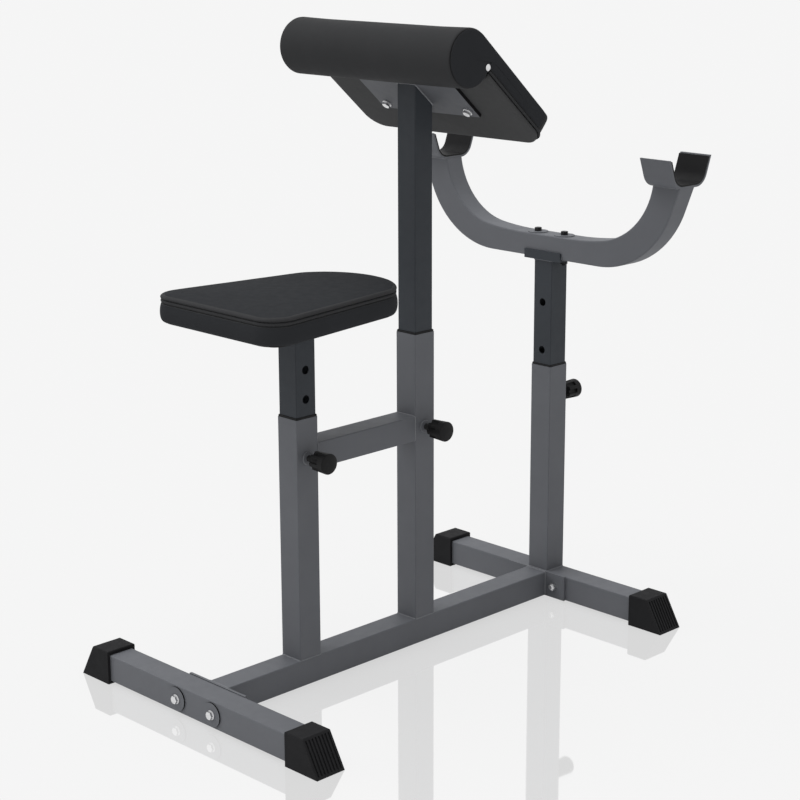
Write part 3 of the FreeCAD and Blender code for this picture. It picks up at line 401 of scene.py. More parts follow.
def pathMesh(name, runs, facing=None):
    verts, edges = [], []
    for run, closed in runs:
        first = len(verts)
        verts += [tuple(p) for p in run]
        edges += [(first + i, first + i + 1) for i in range(len(run) - 1)]
        if closed:
            edges.append((len(verts) - 1, first))
    mesh = bpy.data.meshes.new(name)
    mesh.from_pydata(verts, edges if facing is None else [], [])
    if facing is not None:
        way = mesh.attributes.new("facing", "FLOAT_VECTOR", "POINT")
        way.data.foreach_set("vector", np.asarray([tuple(f) for f in facing], np.float32).ravel())
    return placed(name, mesh)


def grow(name, base, recipe, **values):
    tree, names = recipe
    modifier = base.modifiers.new("grow", "NODES")
    modifier.node_group = tree
    for label, value in values.items():
        modifier[names[label]] = value
    graph = bpy.context.evaluated_depsgraph_get()
    mesh = bpy.data.meshes.new_from_object(base.evaluated_get(graph))
    mesh.name = name
    base.modifiers.remove(modifier)
    bpy.data.objects.remove(base)
    return placed(name, mesh)


# a rope of round section along a path, its thickness slightly uneven
def ropeTree(name, material):
    sockets = {"Radius": 0.002, "Waver": 0.0, "Step": 0.003, "Grain": 300.0, "Sides": 8}
    tree, names, given, made = newTree(name, sockets)
    path = tree.nodes.new("GeometryNodeMeshToCurve")
    even = addNode(tree, "GeometryNodeResampleCurve", mode="LENGTH")
    ring = tree.nodes.new("GeometryNodeCurvePrimitiveCircle")
    tube = tree.nodes.new("GeometryNodeCurveToMesh")
    tube.inputs["Fill Caps"].default_value = True
    grain = addNode(tree, "ShaderNodeTexNoise", Detail=1.0)
    middle = addNode(tree, "ShaderNodeMath", operation="SUBTRACT")
    middle.inputs[1].default_value = 0.5
    amount = addNode(tree, "ShaderNodeMath", operation="MULTIPLY")
    normal = tree.nodes.new("GeometryNodeInputNormal")
    push = addNode(tree, "ShaderNodeVectorMath", operation="SCALE")
    shift = tree.nodes.new("GeometryNodeSetPosition")
    joinAll(tree, (given, "Geometry", path, "Mesh"), (path, "Curve", even, "Curve"),
            (given, "Step", even, "Length"), (given, "Sides", ring, "Resolution"),
            (given, "Radius", ring, "Radius"), (even, "Curve", tube, "Curve"),
            (ring, "Curve", tube, "Profile Curve"), (given, "Grain", grain, "Scale"),
            (grain, "Fac", middle, 0), (middle, 0, amount, 0), (given, "Waver", amount, 1),
            (normal, "Normal", push, "Vector"), (amount, 0, push, "Scale"),
            (tube, "Mesh", shift, "Geometry"), (push, "Vector", shift, "Offset"))
    finishTree(tree, shift, "Geometry", made, material)
    return tree, names


# one short thread after another along a path
def stitchTree(name, material):
    tree, names, given, made = newTree(name, {"Pitch": 0.0045, "Length": 0.0017, "Thick": 0.0004})
    path = tree.nodes.new("GeometryNodeMeshToCurve")
    spots = addNode(tree, "GeometryNodeCurveToPoints", mode="LENGTH")
    ball = addNode(tree, "GeometryNodeMeshUVSphere", Segments=6, Rings=4, Radius=1.0)
    size = tree.nodes.new("ShaderNodeCombineXYZ")
    copies = tree.nodes.new("GeometryNodeInstanceOnPoints")
    joinAll(tree, (given, "Geometry", path, "Mesh"), (path, "Curve", spots, "Curve"),
            (given, "Pitch", spots, "Length"), (given, "Thick", size, "X"), (given, "Thick", size, "Y"),
            (given, "Length", size, "Z"), (spots, "Points", copies, "Points"),
            (ball, "Mesh", copies, "Instance"), (spots, "Rotation", copies, "Rotation"),
            (size, "Vector", copies, "Scale"))
    finishTree(tree, copies, "Instances", made, material)
    return tree, names


# one shape set on every point, its Z axis along the point's facing
def placeTree(name, material, axis="Z"):
    tree, names, given, made = newTree(name, {"Shape": None})
    shape = tree.nodes.new("GeometryNodeObjectInfo")
    way = addNode(tree, "GeometryNodeInputNamedAttribute", data_type="FLOAT_VECTOR", Name="facing")
    turn = addNode(tree, "FunctionNodeAlignRotationToVector", axis=axis)
    spots = tree.nodes.new("GeometryNodeMeshToPoints")
    copies = tree.nodes.new("GeometryNodeInstanceOnPoints")
    joinAll(tree, (given, "Shape", shape, "Object"), (way, "Attribute", turn, "Vector"),
            (given, "Geometry", spots, "Mesh"), (spots, "Points", copies, "Points"),
            (shape, "Geometry", copies, "Instance"), (turn, "Rotation", copies, "Rotation"))
    finishTree(tree, copies, "Instances", made, material)
    return tree, names


def merged(name, pieces):
    shape = bmesh.new()
    for piece in pieces:
        shape.from_mesh(piece.data)
    mesh = bpy.data.meshes.new(name)
    shape.to_mesh(mesh)
    shape.free()
    for material in pieces[0].data.materials:
        mesh.materials.append(material)
    for piece in pieces:
        bpy.data.objects.remove(piece)
    return placed(name, mesh)


# where the three posts stand along the bench
axes = {"seat": -0.2485, "arm": 0.0449, "rack": 0.4235}

# seat cushion: sizes of the sewn cover before it swells to its full size
seat = {"axis": axes["seat"], "under": 0.680, "rear": 0.195, "side": 0.319, "rearWidth": 0.337,
        "frontWidth": 0.239, "nose": 0.069, "rearRound": 0.046, "frontRound": 0.045, "spacing": 0.0055,
        "start": 0.0004, "crown": 0.0030, "spine": (-0.085, 0.075), "boardInset": 0.0137,
        "boardTop": 0.0123, "tuck": 0.0012, "topPanel": 0.0471, "reach": 0.3, "pressure": 4.0,
        "cap": 0.0018, "uneven": 0.00015, "foamScale": 16.0}
# inset and height of each line round the seat, from the board's edge up to the lip of the top panel
seatSide = [(0.0105, 0.0001), (0.0066, 0.0010), (0.0034, 0.0030), (0.0013, 0.0062), (0.0003, 0.0105),
            (-0.0002, 0.0150), (-0.0002, 0.0195), (0.0001, 0.0240), (0.0008, 0.0280), (0.0016, 0.0308)]
seatSeam = [(0.0022, 0.0330), (0.0031, 0.0343), (0.0051, 0.0349), (0.0030, 0.0355), (0.0019, 0.0368),
            (0.0017, 0.0384), (0.0020, 0.0400), (0.0031, 0.0411), (0.0053, 0.0417), (0.0028, 0.0423),
            (0.0016, 0.0433)]
seatTop = [(0.0009, 0.0445), (0.0015, 0.0458), (0.0034, 0.0469), (0.0065, 0.0473)]
seatShares = [0.09, 0.16, 0.25, 0.36, 0.48, 0.61, 0.74, 0.87, 1.0]


def arcPoints(centre, radius, a, b, spacing):
    count = max(3, int(abs(b - a) * radius / spacing))
    turns = [a + (b - a) * i / count for i in range(count + 1)]
    return [(centre[0] + radius * math.cos(t), centre[1] + radius * math.sin(t)) for t in turns]


def linePoints(p, q, spacing):
    count = max(1, int(math.dist(p, q) / spacing))
    return [(p[0] + (q[0] - p[0]) * i / count, p[1] + (q[1] - p[1]) * i / count) for i in range(1, count)]


# the right half of the outline, from the middle of the rear edge to the nose, then mirrored
def seatOutline(size):
    rear, end = -size["rear"], size["side"] - size["rear"]
    a, b = Vector((size["rearWidth"] / 2, rear)), Vector((size["frontWidth"] / 2, end))
    along = (b - a).normalized()
    inward = Vector((-along.y, along.x))
    sweep = ((size["frontWidth"] / 2) ** 2 + size["nose"] ** 2) / (2 * size["nose"])
    middle = Vector((0, end + size["nose"] - sweep))
    r = size["rearRound"]
    t = (rear + r - (a + inward * r).y) / along.y
    low = a + inward * r + along * t
    r2 = size["frontRound"]
    start = a + inward * r2 - middle
    dot = start.dot(along)
    t2 = -dot + math.sqrt(dot * dot - start.length_squared + (sweep - r2) ** 2)
    high = a + inward * r2 + along * t2
    toNose = (high - middle).normalized()
    side = math.atan2(-inward.y, -inward.x)
    gap = size["spacing"]
    half = linePoints((0, rear), (low.x, rear), gap)
    half += arcPoints(low, r, -math.pi / 2, side, gap * 0.8)
    half += linePoints(low - inward * r, high - inward * r2, gap)
    turn = math.atan2(toNose.y, toNose.x)
    half += arcPoints(high, r2, side, turn, gap * 0.8)
    half += arcPoints(middle, sweep, turn, math.pi / 2, gap)[1:-1]
    right = [(0.0, rear)] + half + [(0.0, end + size["nose"])]
    return np.array(right + [(-x, y) for x, y in reversed(right[1:-1])])


def outward(loop):
    ahead = np.roll(loop, -1, axis=0) - np.roll(loop, 1, axis=0)
    side = np.stack([ahead[:, 1], -ahead[:, 0]], axis=1)
    return side / np.linalg.norm(side, axis=1, keepdims=True)


outline = seatOutline(seat)
out = outward(outline)
spine = np.stack([np.zeros(len(outline)), np.clip(outline[:, 1], *seat["spine"])], axis=1)


def seatRing(inset, z):
    flat = outline - out * inset + [0, seat["axis"]]
    return np.column_stack([flat, np.full(len(flat), z + seat["under"])])


def towardsSpine(inset, z, share, crown):
    flat = (outline - out * inset) * (1 - share) + spine * share + [0, seat["axis"]]
    rise = crown * (1 - (1 - share) ** 2)
    return np.column_stack([flat, z + seat["under"] + np.full(len(flat), rise)])


inner = [towardsSpine(seat["boardInset"], seat["boardTop"], share, 0) for share in (1.0, 0.66, 0.33, 0.0)]
lines = [(inset + seat["start"], z) for inset, z in seatSide + seatSeam + seatTop]
sides = [seatRing(seat["boardInset"], 0.0)] + [seatRing(*line) for line in lines]
tops = [towardsSpine(*lines[-1], share, seat["crown"]) for share in seatShares]
rings = inner + sides + tops
seatCushion = newPiece("seatCushion", np.concatenate(rings), ringFaces(len(rings), len(outline)), vinyl)
lowSeam, highSeam = seatSeam[0][1] + seat["under"], seatSeam[-1][1] + seat["under"]
pocket = seat["under"] + seat["boardTop"]


def pocketPoint(p):
    inside = np.linalg.norm(p[:2] - [0, seat["axis"]]) < seat["reach"]
    return inside and abs(p[2] - pocket) < 1e-5


# the seat top and the lower sides take darker copies of the vinyl: painted shade
recover(seatCushion, seatTopShadeVinyl, lambda face: face.center.z > seat["under"] + seat["topPanel"])
recover(seatCushion, sidePanelShadeVinyl, lambda face: face.center.z < lowSeam)
stitched = chosen(seatCushion, lambda p: lowSeam - 1e-5 < p[2] < highSeam + 1e-5)
boarded = chosen(seatCushion, lambda p: p[2] < seat["under"] + seat["tuck"])
seatHeld = sorted(set(stitched + boarded + chosen(seatCushion, pocketPoint)))
puff(seatCushion, seatHeld, seat["pressure"], seat["cap"])
settle(seatCushion, seatHeld, seat["uneven"], seat["foamScale"])
subdivide(seatCushion)
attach(seatCushion, "seat_carriage")
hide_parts("seat_cushion")
print("seat cushion done,", len(seatCushion.data.vertices), "points")

# hem of the cover, folded under the board and stapled
hem = {"outer": 0.0105, "inner": 0.030, "thick": 0.0007, "waver": 0.002, "waverScale": 30.0,
       "waverSlice": 0.3, "sunk": 0.0001, "fold": 0.0004, "staples": 0.021, "stapleInset": 0.008,
       "crown": 0.010, "wire": 0.0007, "bend": 0.4, "lean": 0.25, "leanScale": 90.0}
hemNoise = [noise.noise(Vector((*p, hem["waverSlice"])) * hem["waverScale"]) for p in outline]
hemEdge = [hem["inner"] + hem["waver"] * amount for amount in hemNoise]


def hemRing(inset, drop):
    flat = outline - out * np.asarray(inset).reshape(-1, 1) + [0, seat["axis"]]
    return np.column_stack([flat, np.full(len(flat), seat["under"] - drop)])


hemOuter = np.full(len(outline), hem["outer"])
hemFold = np.asarray(hemEdge)
rings = [hemRing(hemOuter, -hem["sunk"]), hemRing(hemOuter + hem["fold"], hem["thick"]),
         hemRing(hemFold * 0.5 + hemOuter * 0.5, hem["thick"]), hemRing(hemFold - hem["fold"], hem["thick"]),
         hemRing(hemFold, -hem["sunk"]), hemRing(hemOuter, -hem["sunk"])]
seatHem = newPiece("seatHem", np.concatenate(rings), ringFaces(len(rings), len(outline)), vinyl)
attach(seatHem, "seat_carriage")
crown, wire = hem["crown"] / 2, hem["wire"]
profile = [(-crown, wire), (-crown, -wire * hem["bend"]), (-crown + wire, -wire)]
profile += [(-x, z) for x, z in reversed(profile)]
square = ((-1, -1), (1, -1), (1, 1), (-1, 1))
rings = [[(x, y * wire / 2, z + k * wire / 2) for y, k in square] for x, z in profile]
verts = [p for ring in rings for p in ring]
last = len(verts) - 4
faces = ringFaces(len(rings), 4) + [(0, 1, 2, 3), (last + 3, last + 2, last + 1, last)]
stapleShape = newPiece("stapleShape", verts, faces, zinc)
ahead = np.roll(outline, -1, axis=0) - np.roll(outline, 1, axis=0)
row = hemRing(hemFold - hem["stapleInset"], hem["thick"])
gaps = np.linalg.norm(np.roll(row, -1, axis=0) - row, axis=1)
walked, spots, facing = 0.0, [], []
for place, step, way in zip(row, gaps, ahead):
    walked += step
    if walked > hem["staples"]:
        walked = 0.0
        lean = hem["lean"] * noise.noise(Vector(place) * hem["leanScale"])
        spots.append(place)
        facing.append(Matrix.Rotation(lean, 3, "Z") @ Vector((*way, 0)).normalized())
stapleRecipe = placeTree("staples", zinc, "X")
path = pathMesh("staplePath", [(spots, False)], facing)
seatStaples = grow("seatStaples", path, stapleRecipe, Shape=stapleShape)
bpy.data.objects.remove(stapleShape)
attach(seatStaples, "seat_carriage")

# stitches of the seat's two seams and of the arm pad's ends
stitch = {"size": {"Pitch": 0.0045, "Length": 0.0017, "Thick": 0.0005}, "seams": (2, 8), "proud": 0.0008,
          "depth": 0.0026, "inset": 0.0042, "under": 0.0145, "rollCount": 50, "topCount": 30}
stitchRecipe = stitchTree("stitches", thread)
seams = [seatSeam[i] for i in stitch["seams"]]
rows = [(seatRing(inset - stitch["proud"] + seat["start"], z), True) for inset, z in seams]
seatStitches = grow("seatStitches", pathMesh("seatRow", rows), stitchRecipe, **stitch["size"])
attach(seatStitches, "seat_carriage")
print("seat hem and stitches done,", len(spots), "staples")

# arm pad: a roll and a slab sewn in one cover, in its own frame of slope (s), rise (n) and width (x)
arm = {"rollY": -0.0371, "rollZ": 1.1238, "tilt": 41.0, "roll": 0.0513, "width": 0.4308, "length": 0.2496,
       "round": 0.04, "thin": 0.0028, "underEnd": 0.010, "sill": 0.0182, "endBack": 0.0001,
       "lipBack": 0.0064, "board": 0.009, "boardLength": 0.2505, "boardHalf": 0.216,
       "boardInset": 0.0025, "pressure": 4.0,
       "cap": 0.0013, "uneven": 0.00015, "foamScale": 15.0, "tackSlope": 0.043, "tackRise": 0.014,
       "tackHold": 0.008, "tackEdge": 0.001, "panelBlend": 0.05, "panelTip": 0.022, "panelMid": 0.029,
       "panelDepth": 0.002, "panelFacing": 0.75, "seamRing": (0.0017, 0.0034), "seamHold": (0.0002, 0.005),
       "glueStart": 0.045, "glueRise": 0.0080}
slope = Vector((0, math.cos(math.radians(arm["tilt"])), -math.sin(math.radians(arm["tilt"]))))
rise = Vector((0, math.sin(math.radians(arm["tilt"])), math.cos(math.radians(arm["tilt"]))))
half = arm["width"] / 2


def onArm(x, s, n):
    return Vector((x, arm["rollY"], arm["rollZ"])) + slope * s + rise * n


def armPlace(p):
    d = Vector(p) - Vector((0, arm["rollY"], arm["rollZ"]))
    return p[0], d.dot(slope), d.dot(rise)


def armTip(depth):
    r = arm["round"]
    return arm["length"] - r + math.sqrt(max(0.0, r * r - (r - min(depth, r)) ** 2))


# one section of the pad: round the roll, along the underside, up the lower end and back along the top
def armSection(depth, inset, under):
    roll = arm["roll"] - inset
    tip = armTip(depth) - inset
    top = roll - arm["thin"]
    joint = math.asin(under / roll)
    turns = np.linspace(math.pi / 2, 2 * math.pi + joint, 52)
    loop = [(roll * math.cos(a), roll * math.sin(a)) for a in turns]
    start = loop[-1][0]
    loop += [(start + (tip - arm["underEnd"] - start) * t, under) for t in np.linspace(0, 1, 26)[1:]]
    loop += [(tip - back, max(under, n)) for back, n in armOverhang]
    sill, back = arm["sill"], arm["endBack"]
    loop += [(tip - back, sill + (top - sill) * t) for t in (0.1, 0.28, 0.46, 0.64)]
    loop += [(tip - back, top - drop) for back, drop in armLip]
    flat = tip - arm["lipBack"]
    loop += [(flat * (1 - t), roll - arm["thin"] * (1 - t)) for t in np.linspace(0, 1, 27)[:-1]]
    return np.array(loop)


# the cover's overhang above the welt: distance from the edge and rise
armOverhang = [(0.0064, 0.0108), (0.0044, 0.0128), (0.0026, 0.0143), (0.0012, 0.0154), (0.0004, 0.0168)]
# the cover's upper edge at the lower end: distance from the edge and drop
armLip = [(0.0003, 0.0052), (0.0012, 0.0022), (0.0032, 0.0006)]
# depth from the side panel, inset and underside of each section; the close ones make the seam round the end
armDraw = [(0.0, 0.0058, 0.0168), (0.0003, 0.0040, 0.0161), (0.0010, 0.0027, 0.0155),
           (0.0017, 0.0023, 0.0150), (0.0022, 0.0046, 0.0147), (0.0030, 0.0052, 0.0141),
           (0.0036, 0.0016, 0.0136), (0.0050, 0.0006, 0.0122), (0.0066, 0.0002, 0.0107),
           (0.0095, 0.0, 0.0094), (0.0130, 0.0, 0.0093), (0.0180, 0.0, 0.0093),
           (0.0240, 0.0, 0.0093), (0.0310, 0.0, 0.0093), (0.0400, 0.0, 0.0093)]
inside = half - armDraw[-1][0]
stations = [(-half + line[0], line) for line in armDraw]
stations += [(x, armDraw[-1]) for x in np.linspace(-inside, inside, 46)[1:-1]]
stations += [(half - line[0], line) for line in reversed(armDraw)]


def panelRing(side, share):
    loop = armSection(*armDraw[0])
    tip = armTip(0)
    mid = []
    for s, n in loop:
        t = min(1, max(0, s / arm["panelBlend"]))
        mid.append((min(max(s, 0), tip - arm["panelTip"]), arm["panelMid"] * t))
    loop = loop * (1 - share) + np.array(mid) * share
    return [onArm(side * half, s, n) for s, n in loop]


shares = (1.0, 0.85, 0.68, 0.5, 0.33, 0.18, 0.07)
rings = [panelRing(-1, share) for share in shares]
rings += [[onArm(x, s, n) for s, n in armSection(*line)] for x, line in stations]
rings += [panelRing(1, share) for share in reversed(shares)]
count = len(rings[0])
verts = [p for ring in rings for p in ring]
armCushion = newPiece("armCushion", verts, ringFaces(len(rings), count), vinyl)


def onPanel(face):
    return abs(face.normal.x) > arm["panelFacing"] and half - abs(face.center.x) < arm["panelDepth"]


def inSeamRing(face):
    near, far = arm["seamRing"]
    return near < half - abs(face.center.x) < far


# the arm pad's side panels take a darker copy of the vinyl: painted shade
recover(armCushion, sidePanelShadeVinyl, onPanel)
# the faces in the seam's groove round each end take the dark thread colour: partly the thread sewn there,
# partly painted shade in the groove
recover(armCushion, thread, inSeamRing)


def armFixed(p):
    x, s, n = armPlace(p)
    edge = half - abs(x)
    near, far = arm["seamHold"]
    seam = near < edge < far
    glued = s > arm["glueStart"] and n < arm["board"] + arm["glueRise"]
    toTack = math.hypot(s - arm["tackSlope"], n - arm["tackRise"])
    tacked = edge < arm["tackEdge"] and toTack < arm["tackHold"]
    return seam or glued or tacked


armHeld = chosen(armCushion, armFixed)
puff(armCushion, armHeld, arm["pressure"], arm["cap"])
settle(armCushion, armHeld, arm["uneven"], arm["foamScale"])
subdivide(armCushion)
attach(armCushion, "arm_carriage")
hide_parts("arm_cushion")
print("arm cushion done,", len(armCushion.data.vertices), "points")

# covered board under the arm pad, its edges rounded by the cover
board = {"thick": arm["board"], "lower": 0.004, "upper": 0.002, "start": 0.0528, "steps": 14}


def boardOutline():
    far = arm["boardLength"] - arm["boardInset"]
    wide = arm["boardHalf"] - arm["boardInset"]
    r = arm["round"] - arm["boardInset"]
    low = board["start"]
    turns = np.linspace(0, math.pi / 2, board["steps"])
    loop = [(x, low) for x in np.linspace(-wide, wide, 40)]
    loop += [(wide, s) for s in np.linspace(low, far - r, 20)[1:-1]]
    loop += [(wide - r + r * math.cos(a), far - r + r * math.sin(a)) for a in turns]
    loop += [(x, far) for x in np.linspace(wide - r, -wide + r, 34)[1:-1]]
    loop += [(-wide + r - r * math.cos(a), far - r + r * math.sin(a)) for a in turns[::-1]]
    loop += [(-wide, s) for s in np.linspace(far - r, low, 20)[1:-1]]
    return np.array(loop)


boardLoop = boardOutline()
boardOut = outward(boardLoop)
thick, lower, upper = board["thick"], board["lower"], board["upper"]
quarter = np.linspace(0, math.pi / 2, 6)
boardLines = [(lower * (1 - math.sin(a)), lower * (1 - math.cos(a))) for a in quarter]
boardLines += [(upper * (1 - math.cos(a)), thick - upper * (1 - math.sin(a))) for a in quarter]
boardRings = []
for inset, n in boardLines:
    flat = boardLoop - boardOut * inset
    boardRings.append([onArm(x, max(s, math.sqrt(board["start"] ** 2 - n * n)), n) for x, s in flat])
for ring, edge in ((boardRings[0], 0), (boardRings[-1], len(boardRings) + 1)):
    middle = sum(ring, Vector()) / len(ring)
    closer = [[p.lerp(middle, share) for p in ring] for share in (0.06, 0.4)]
    boardRings = closer[::-1] + boardRings if edge == 0 else boardRings + closer
verts = [p for ring in boardRings for p in ring]
faces = ringFaces(len(boardRings), len(boardLoop))
last = (len(boardRings) - 1) * len(boardLoop)
faces += [tuple(range(len(boardLoop))), tuple(reversed(range(last, len(verts))))]
armBoard = newPiece("armBoard", verts, faces, boardVinyl)
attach(armBoard, "arm_carriage")
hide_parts("arm_board")

# welt cord in the seam between cushion and board, from one side's tack round the lower end to the other's
welt = {"rise": 0.0113, "inset": 0.0012, "start": 0.050,
        "size": {"Radius": 0.0023, "Waver": 0.0003, "Step": 0.004, "Grain": 60.0, "Sides": 10}}


def weltPath(inset, n):
    wide, far = arm["boardHalf"] - inset, arm["boardLength"] - inset
    r = arm["round"] - inset
    turns = np.linspace(0, math.pi / 2, 14)
    run = [(wide, s) for s in np.linspace(welt["start"], far - r, 30)[:-1]]
    run += [(wide - r + r * math.cos(a), far - r + r * math.sin(a)) for a in turns]
    run += [(x, far) for x in np.linspace(wide - r, 0, 30)[1:]]
    run += [(-x, s) for x, s in reversed(run[:-1])]
    return [onArm(x, s, n) for x, s in run]


cordRecipe = ropeTree("weltCord", vinyl)
path = pathMesh("weltPath", [(weltPath(welt["inset"], welt["rise"]), False)])
armWelt = grow("armWelt", path, cordRecipe, **welt["size"])
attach(armWelt, "arm_carriage")
endRows = []
for side in (-1, 1):
    ringPoints = armSection(stitch["depth"], stitch["inset"], stitch["under"])
    for run in (ringPoints[:stitch["rollCount"]], ringPoints[-stitch["topCount"]:]):
        endRows.append(([onArm(side * (half - stitch["depth"]), s, n) for s, n in run], False))
armStitches = grow("armStitches", pathMesh("armRows", endRows), stitchRecipe, **stitch["size"])
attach(armStitches, "arm_carriage")
print("arm board, welt and stitches done")

# hexagon bolts and nuts, their bearing face at zero, the head along Z and the shank below
fastener = {"corners": 36, "slant": math.tan(math.radians(30)), "slantShare": 0.475, "crownShare": 0.55,
            "threads": 6, "threadPitch": 0.0015, "threadDeep": 0.0006, "tipShare": 0.6, "flange": 0.0018,
            "collar": 0.0088, "collarShare": 0.6, "collarRound": 0.0005, "sharp": math.radians(28)}


def hexRadius(flats, angle):
    return flats / 2 / math.cos(angle % (math.pi / 3) - math.pi / 6)


def hexShape(name, flats, height, bore, shank, material, flange=0.0):
    count = fastener["corners"]
    angles = [2 * math.pi * i / count for i in range(count)]
    slantStart = flats * fastener["slantShare"]

    def circle(r, z):
        return [(r * math.cos(a), r * math.sin(a), z) for a in angles]

    def hexagon(z, slanted):
        ring = []
        for a in angles:
            r = hexRadius(flats, a)
            drop = max(0.0, r - slantStart) * fastener["slant"]
            ring.append((r * math.cos(a), r * math.sin(a), z - drop if slanted else z))
        return ring

    rings = []
    if shank:
        pitch, deep, threads = fastener["threadPitch"], fastener["threadDeep"], fastener["threads"]
        rings += [circle(bore * fastener["tipShare"], -shank), circle(bore - deep, -shank)]
        for i in range(threads):
            z = -shank + pitch * (i + 0.5)
            rings += [circle(bore, z), circle(bore - deep, z + pitch / 2)]
        rings += [circle(bore, -shank + pitch * (threads + 1)), circle(bore, 0.0)]
    else:
        rings += [circle(bore, height), circle(bore, 0.0)]
    foot = 0.0
    if flange:
        foot = fastener["flange"]
        rings += [circle(flange, 0.0), circle(flange, foot * fastener["collarShare"]),
                  circle(flange - fastener["collarRound"], foot)]
    rings += [circle(slantStart, foot), hexagon(foot, False)]
    rings += [hexagon(height, True), circle(slantStart, height)]
    rings.append(circle(slantStart * fastener["crownShare"] if shank else bore, height))
    verts = [p for ring in rings for p in ring]
    faces = ringFaces(len(rings), count)
    if shank:
        faces += [tuple(range(count)), tuple(range(len(verts) - count, len(verts)))]
    piece = newPiece(name, verts, faces, material)
    piece.data.set_sharp_from_angle(angle=fastener["sharp"])
    return piece


up, down = Vector((0, 0, 1)), Vector((0, 0, -1))
ahead, astern = Vector((0, 1, 0)), Vector((0, -1, 0))
basePoints = [(-0.048, 0.030), (0.048, 0.030)]
padPoints = [(x, y) for x in (-0.065, 0.065) for y in (-0.065, 0.065)]
armPoints = [(x, s) for x in (-0.102, 0.102) for s in (0.06505, 0.15465)]
rackPoints = (-0.034, 0.034)
blackRecipe = placeTree("blackHardware", blackSteel)
brightRecipe = placeTree("brightHardware", brightZinc)
# flats, height, bore and shank of each shape
shapes = {"base": (0.0135, 0.0065, 0.005, 0.0685), "baseNut": (0.0135, 0.008, 0.00505, 0),
          "seat": (0.013, 0.0055, 0.004, 0.0186), "arm": (0.013, 0.0055, 0.004, 0.0166),
          "rack": (0.013, 0.007, 0.004, 0.0606), "rackNut": (0.013, 0.007, 0.00405, 0)}
# where each shape bears, along the way that it faces
bearing = {"rearHead": -0.501, "frontHead": 0.451, "rearNut": -0.4435, "frontNut": 0.3935,
           "seat": 0.6734, "arm": -0.0076, "rackHead": 0.7456, "rackNut": 0.695}


def baseSpots(name):
    return [(x, bearing[name], z) for x, z in basePoints]


def rackSpots(name):
    return [(x, axes["rack"], bearing[name]) for x in rackPoints]


seatSpots = [(x, seat["axis"] + y, bearing["seat"]) for x, y in padPoints]
armSpots = [onArm(x, s, bearing["arm"]) for x, s in armPoints]
baseNodes = ["rear_base_bolts", "front_base_bolts", "rear_base_nuts", "front_base_nuts"]
# body and nodes that each piece stands for, then the shape, spots and facing of its sets
hardware = {
    "baseHardware": ("frame", baseNodes, [
        ("base", baseSpots("rearHead"), astern), ("base", baseSpots("frontHead"), ahead),
        ("baseNut", baseSpots("rearNut"), ahead), ("baseNut", baseSpots("frontNut"), astern)]),
    "seatHardware": ("seat_carriage", ["seat_bolts"], [("seat", seatSpots, down)]),
    "armHardware": ("arm_carriage", ["arm_bolts"], [("arm", armSpots, -rise)]),
    "rackHardware": ("rack_carriage", ["rack_bolts", "rack_nuts"], [
        ("rack", rackSpots("rackHead"), up), ("rackNut", rackSpots("rackNut"), down)])}
slots = {part["node"]: part["material_slot"] for part in frame["record"]["subparts"]}
for name, (body, stands, sets) in hardware.items():
    finish = slots[stands[0]]
    recipe = blackRecipe if name == "rackHardware" else brightRecipe
    made = []
    for shape, spots, way in sets:
        collar = fastener["collar"] if shape == "base" else 0.0
        pattern = hexShape("pattern", *shapes[shape], finishes[finish], collar)
        path = pathMesh("spots", [(spots, False)], [way] * len(spots))
        made.append(grow(name + "Set", path, recipe, Shape=pattern))
        bpy.data.objects.remove(pattern)
    piece = merged(name, made)
    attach(piece, body)
    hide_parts(*stands)
print("bolts and nuts done")

# threaded lock studs: a core with one helical ridge
stud = {"core": 0.0053, "outside": 0.006, "pitch": 0.002, "turn": 20, "perPitch": 8, "tip": 0.0015,
        "ridgeHalf": 0.4, "ridgeFlat": 1.25}


def studRings(length):
    rings = []
    steps = int(length / stud["pitch"] * stud["perPitch"])
    for i in range(steps + 1):
        z = length * i / steps
        ring = []
        for k in range(stud["turn"]):
            a = 2 * math.pi * k / stud["turn"]
            wave = (z / stud["pitch"] - k / stud["turn"]) % 1.0
            ridge = max(0.0, 1 - abs(wave - 0.5) / stud["ridgeHalf"])
            r = stud["core"] + (stud["outside"] - stud["core"]) * min(1.0, ridge * stud["ridgeFlat"])
            end = min(z, length - z)
            r = min(r, stud["outside"] - max(0.0, stud["tip"] - end))
            ring.append((z, r * math.cos(a), r * math.sin(a)))
        rings.append(ring)
    return rings


for name in ("seat", "arm", "rack"):
    low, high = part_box(name + "_lock_stud")
    axis = 1 if name == "rack" else 0
    others = [i for i in range(3) if i != axis]
    middle = [(low[i] + high[i]) / 2 for i in others]
    rings = studRings(high[axis] - low[axis])
    verts = []
    for z, u, v in (p for ring in rings for p in ring):
        spot = [0.0, 0.0, 0.0]
        spot[axis] = low[axis] + z
        spot[others[0]], spot[others[1]] = middle[0] + u, middle[1] + v
        verts.append(spot)
    count = stud["turn"]
    faces = ringFaces(len(rings), count)
    faces += [tuple(range(count)), tuple(range(len(verts) - count, len(verts)))]
    piece = newPiece(name + "LockThread", verts, faces, blackSteel)
    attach(piece, name + "_lock_pin")
    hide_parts(name + "_lock_stud")
print("lock studs done")

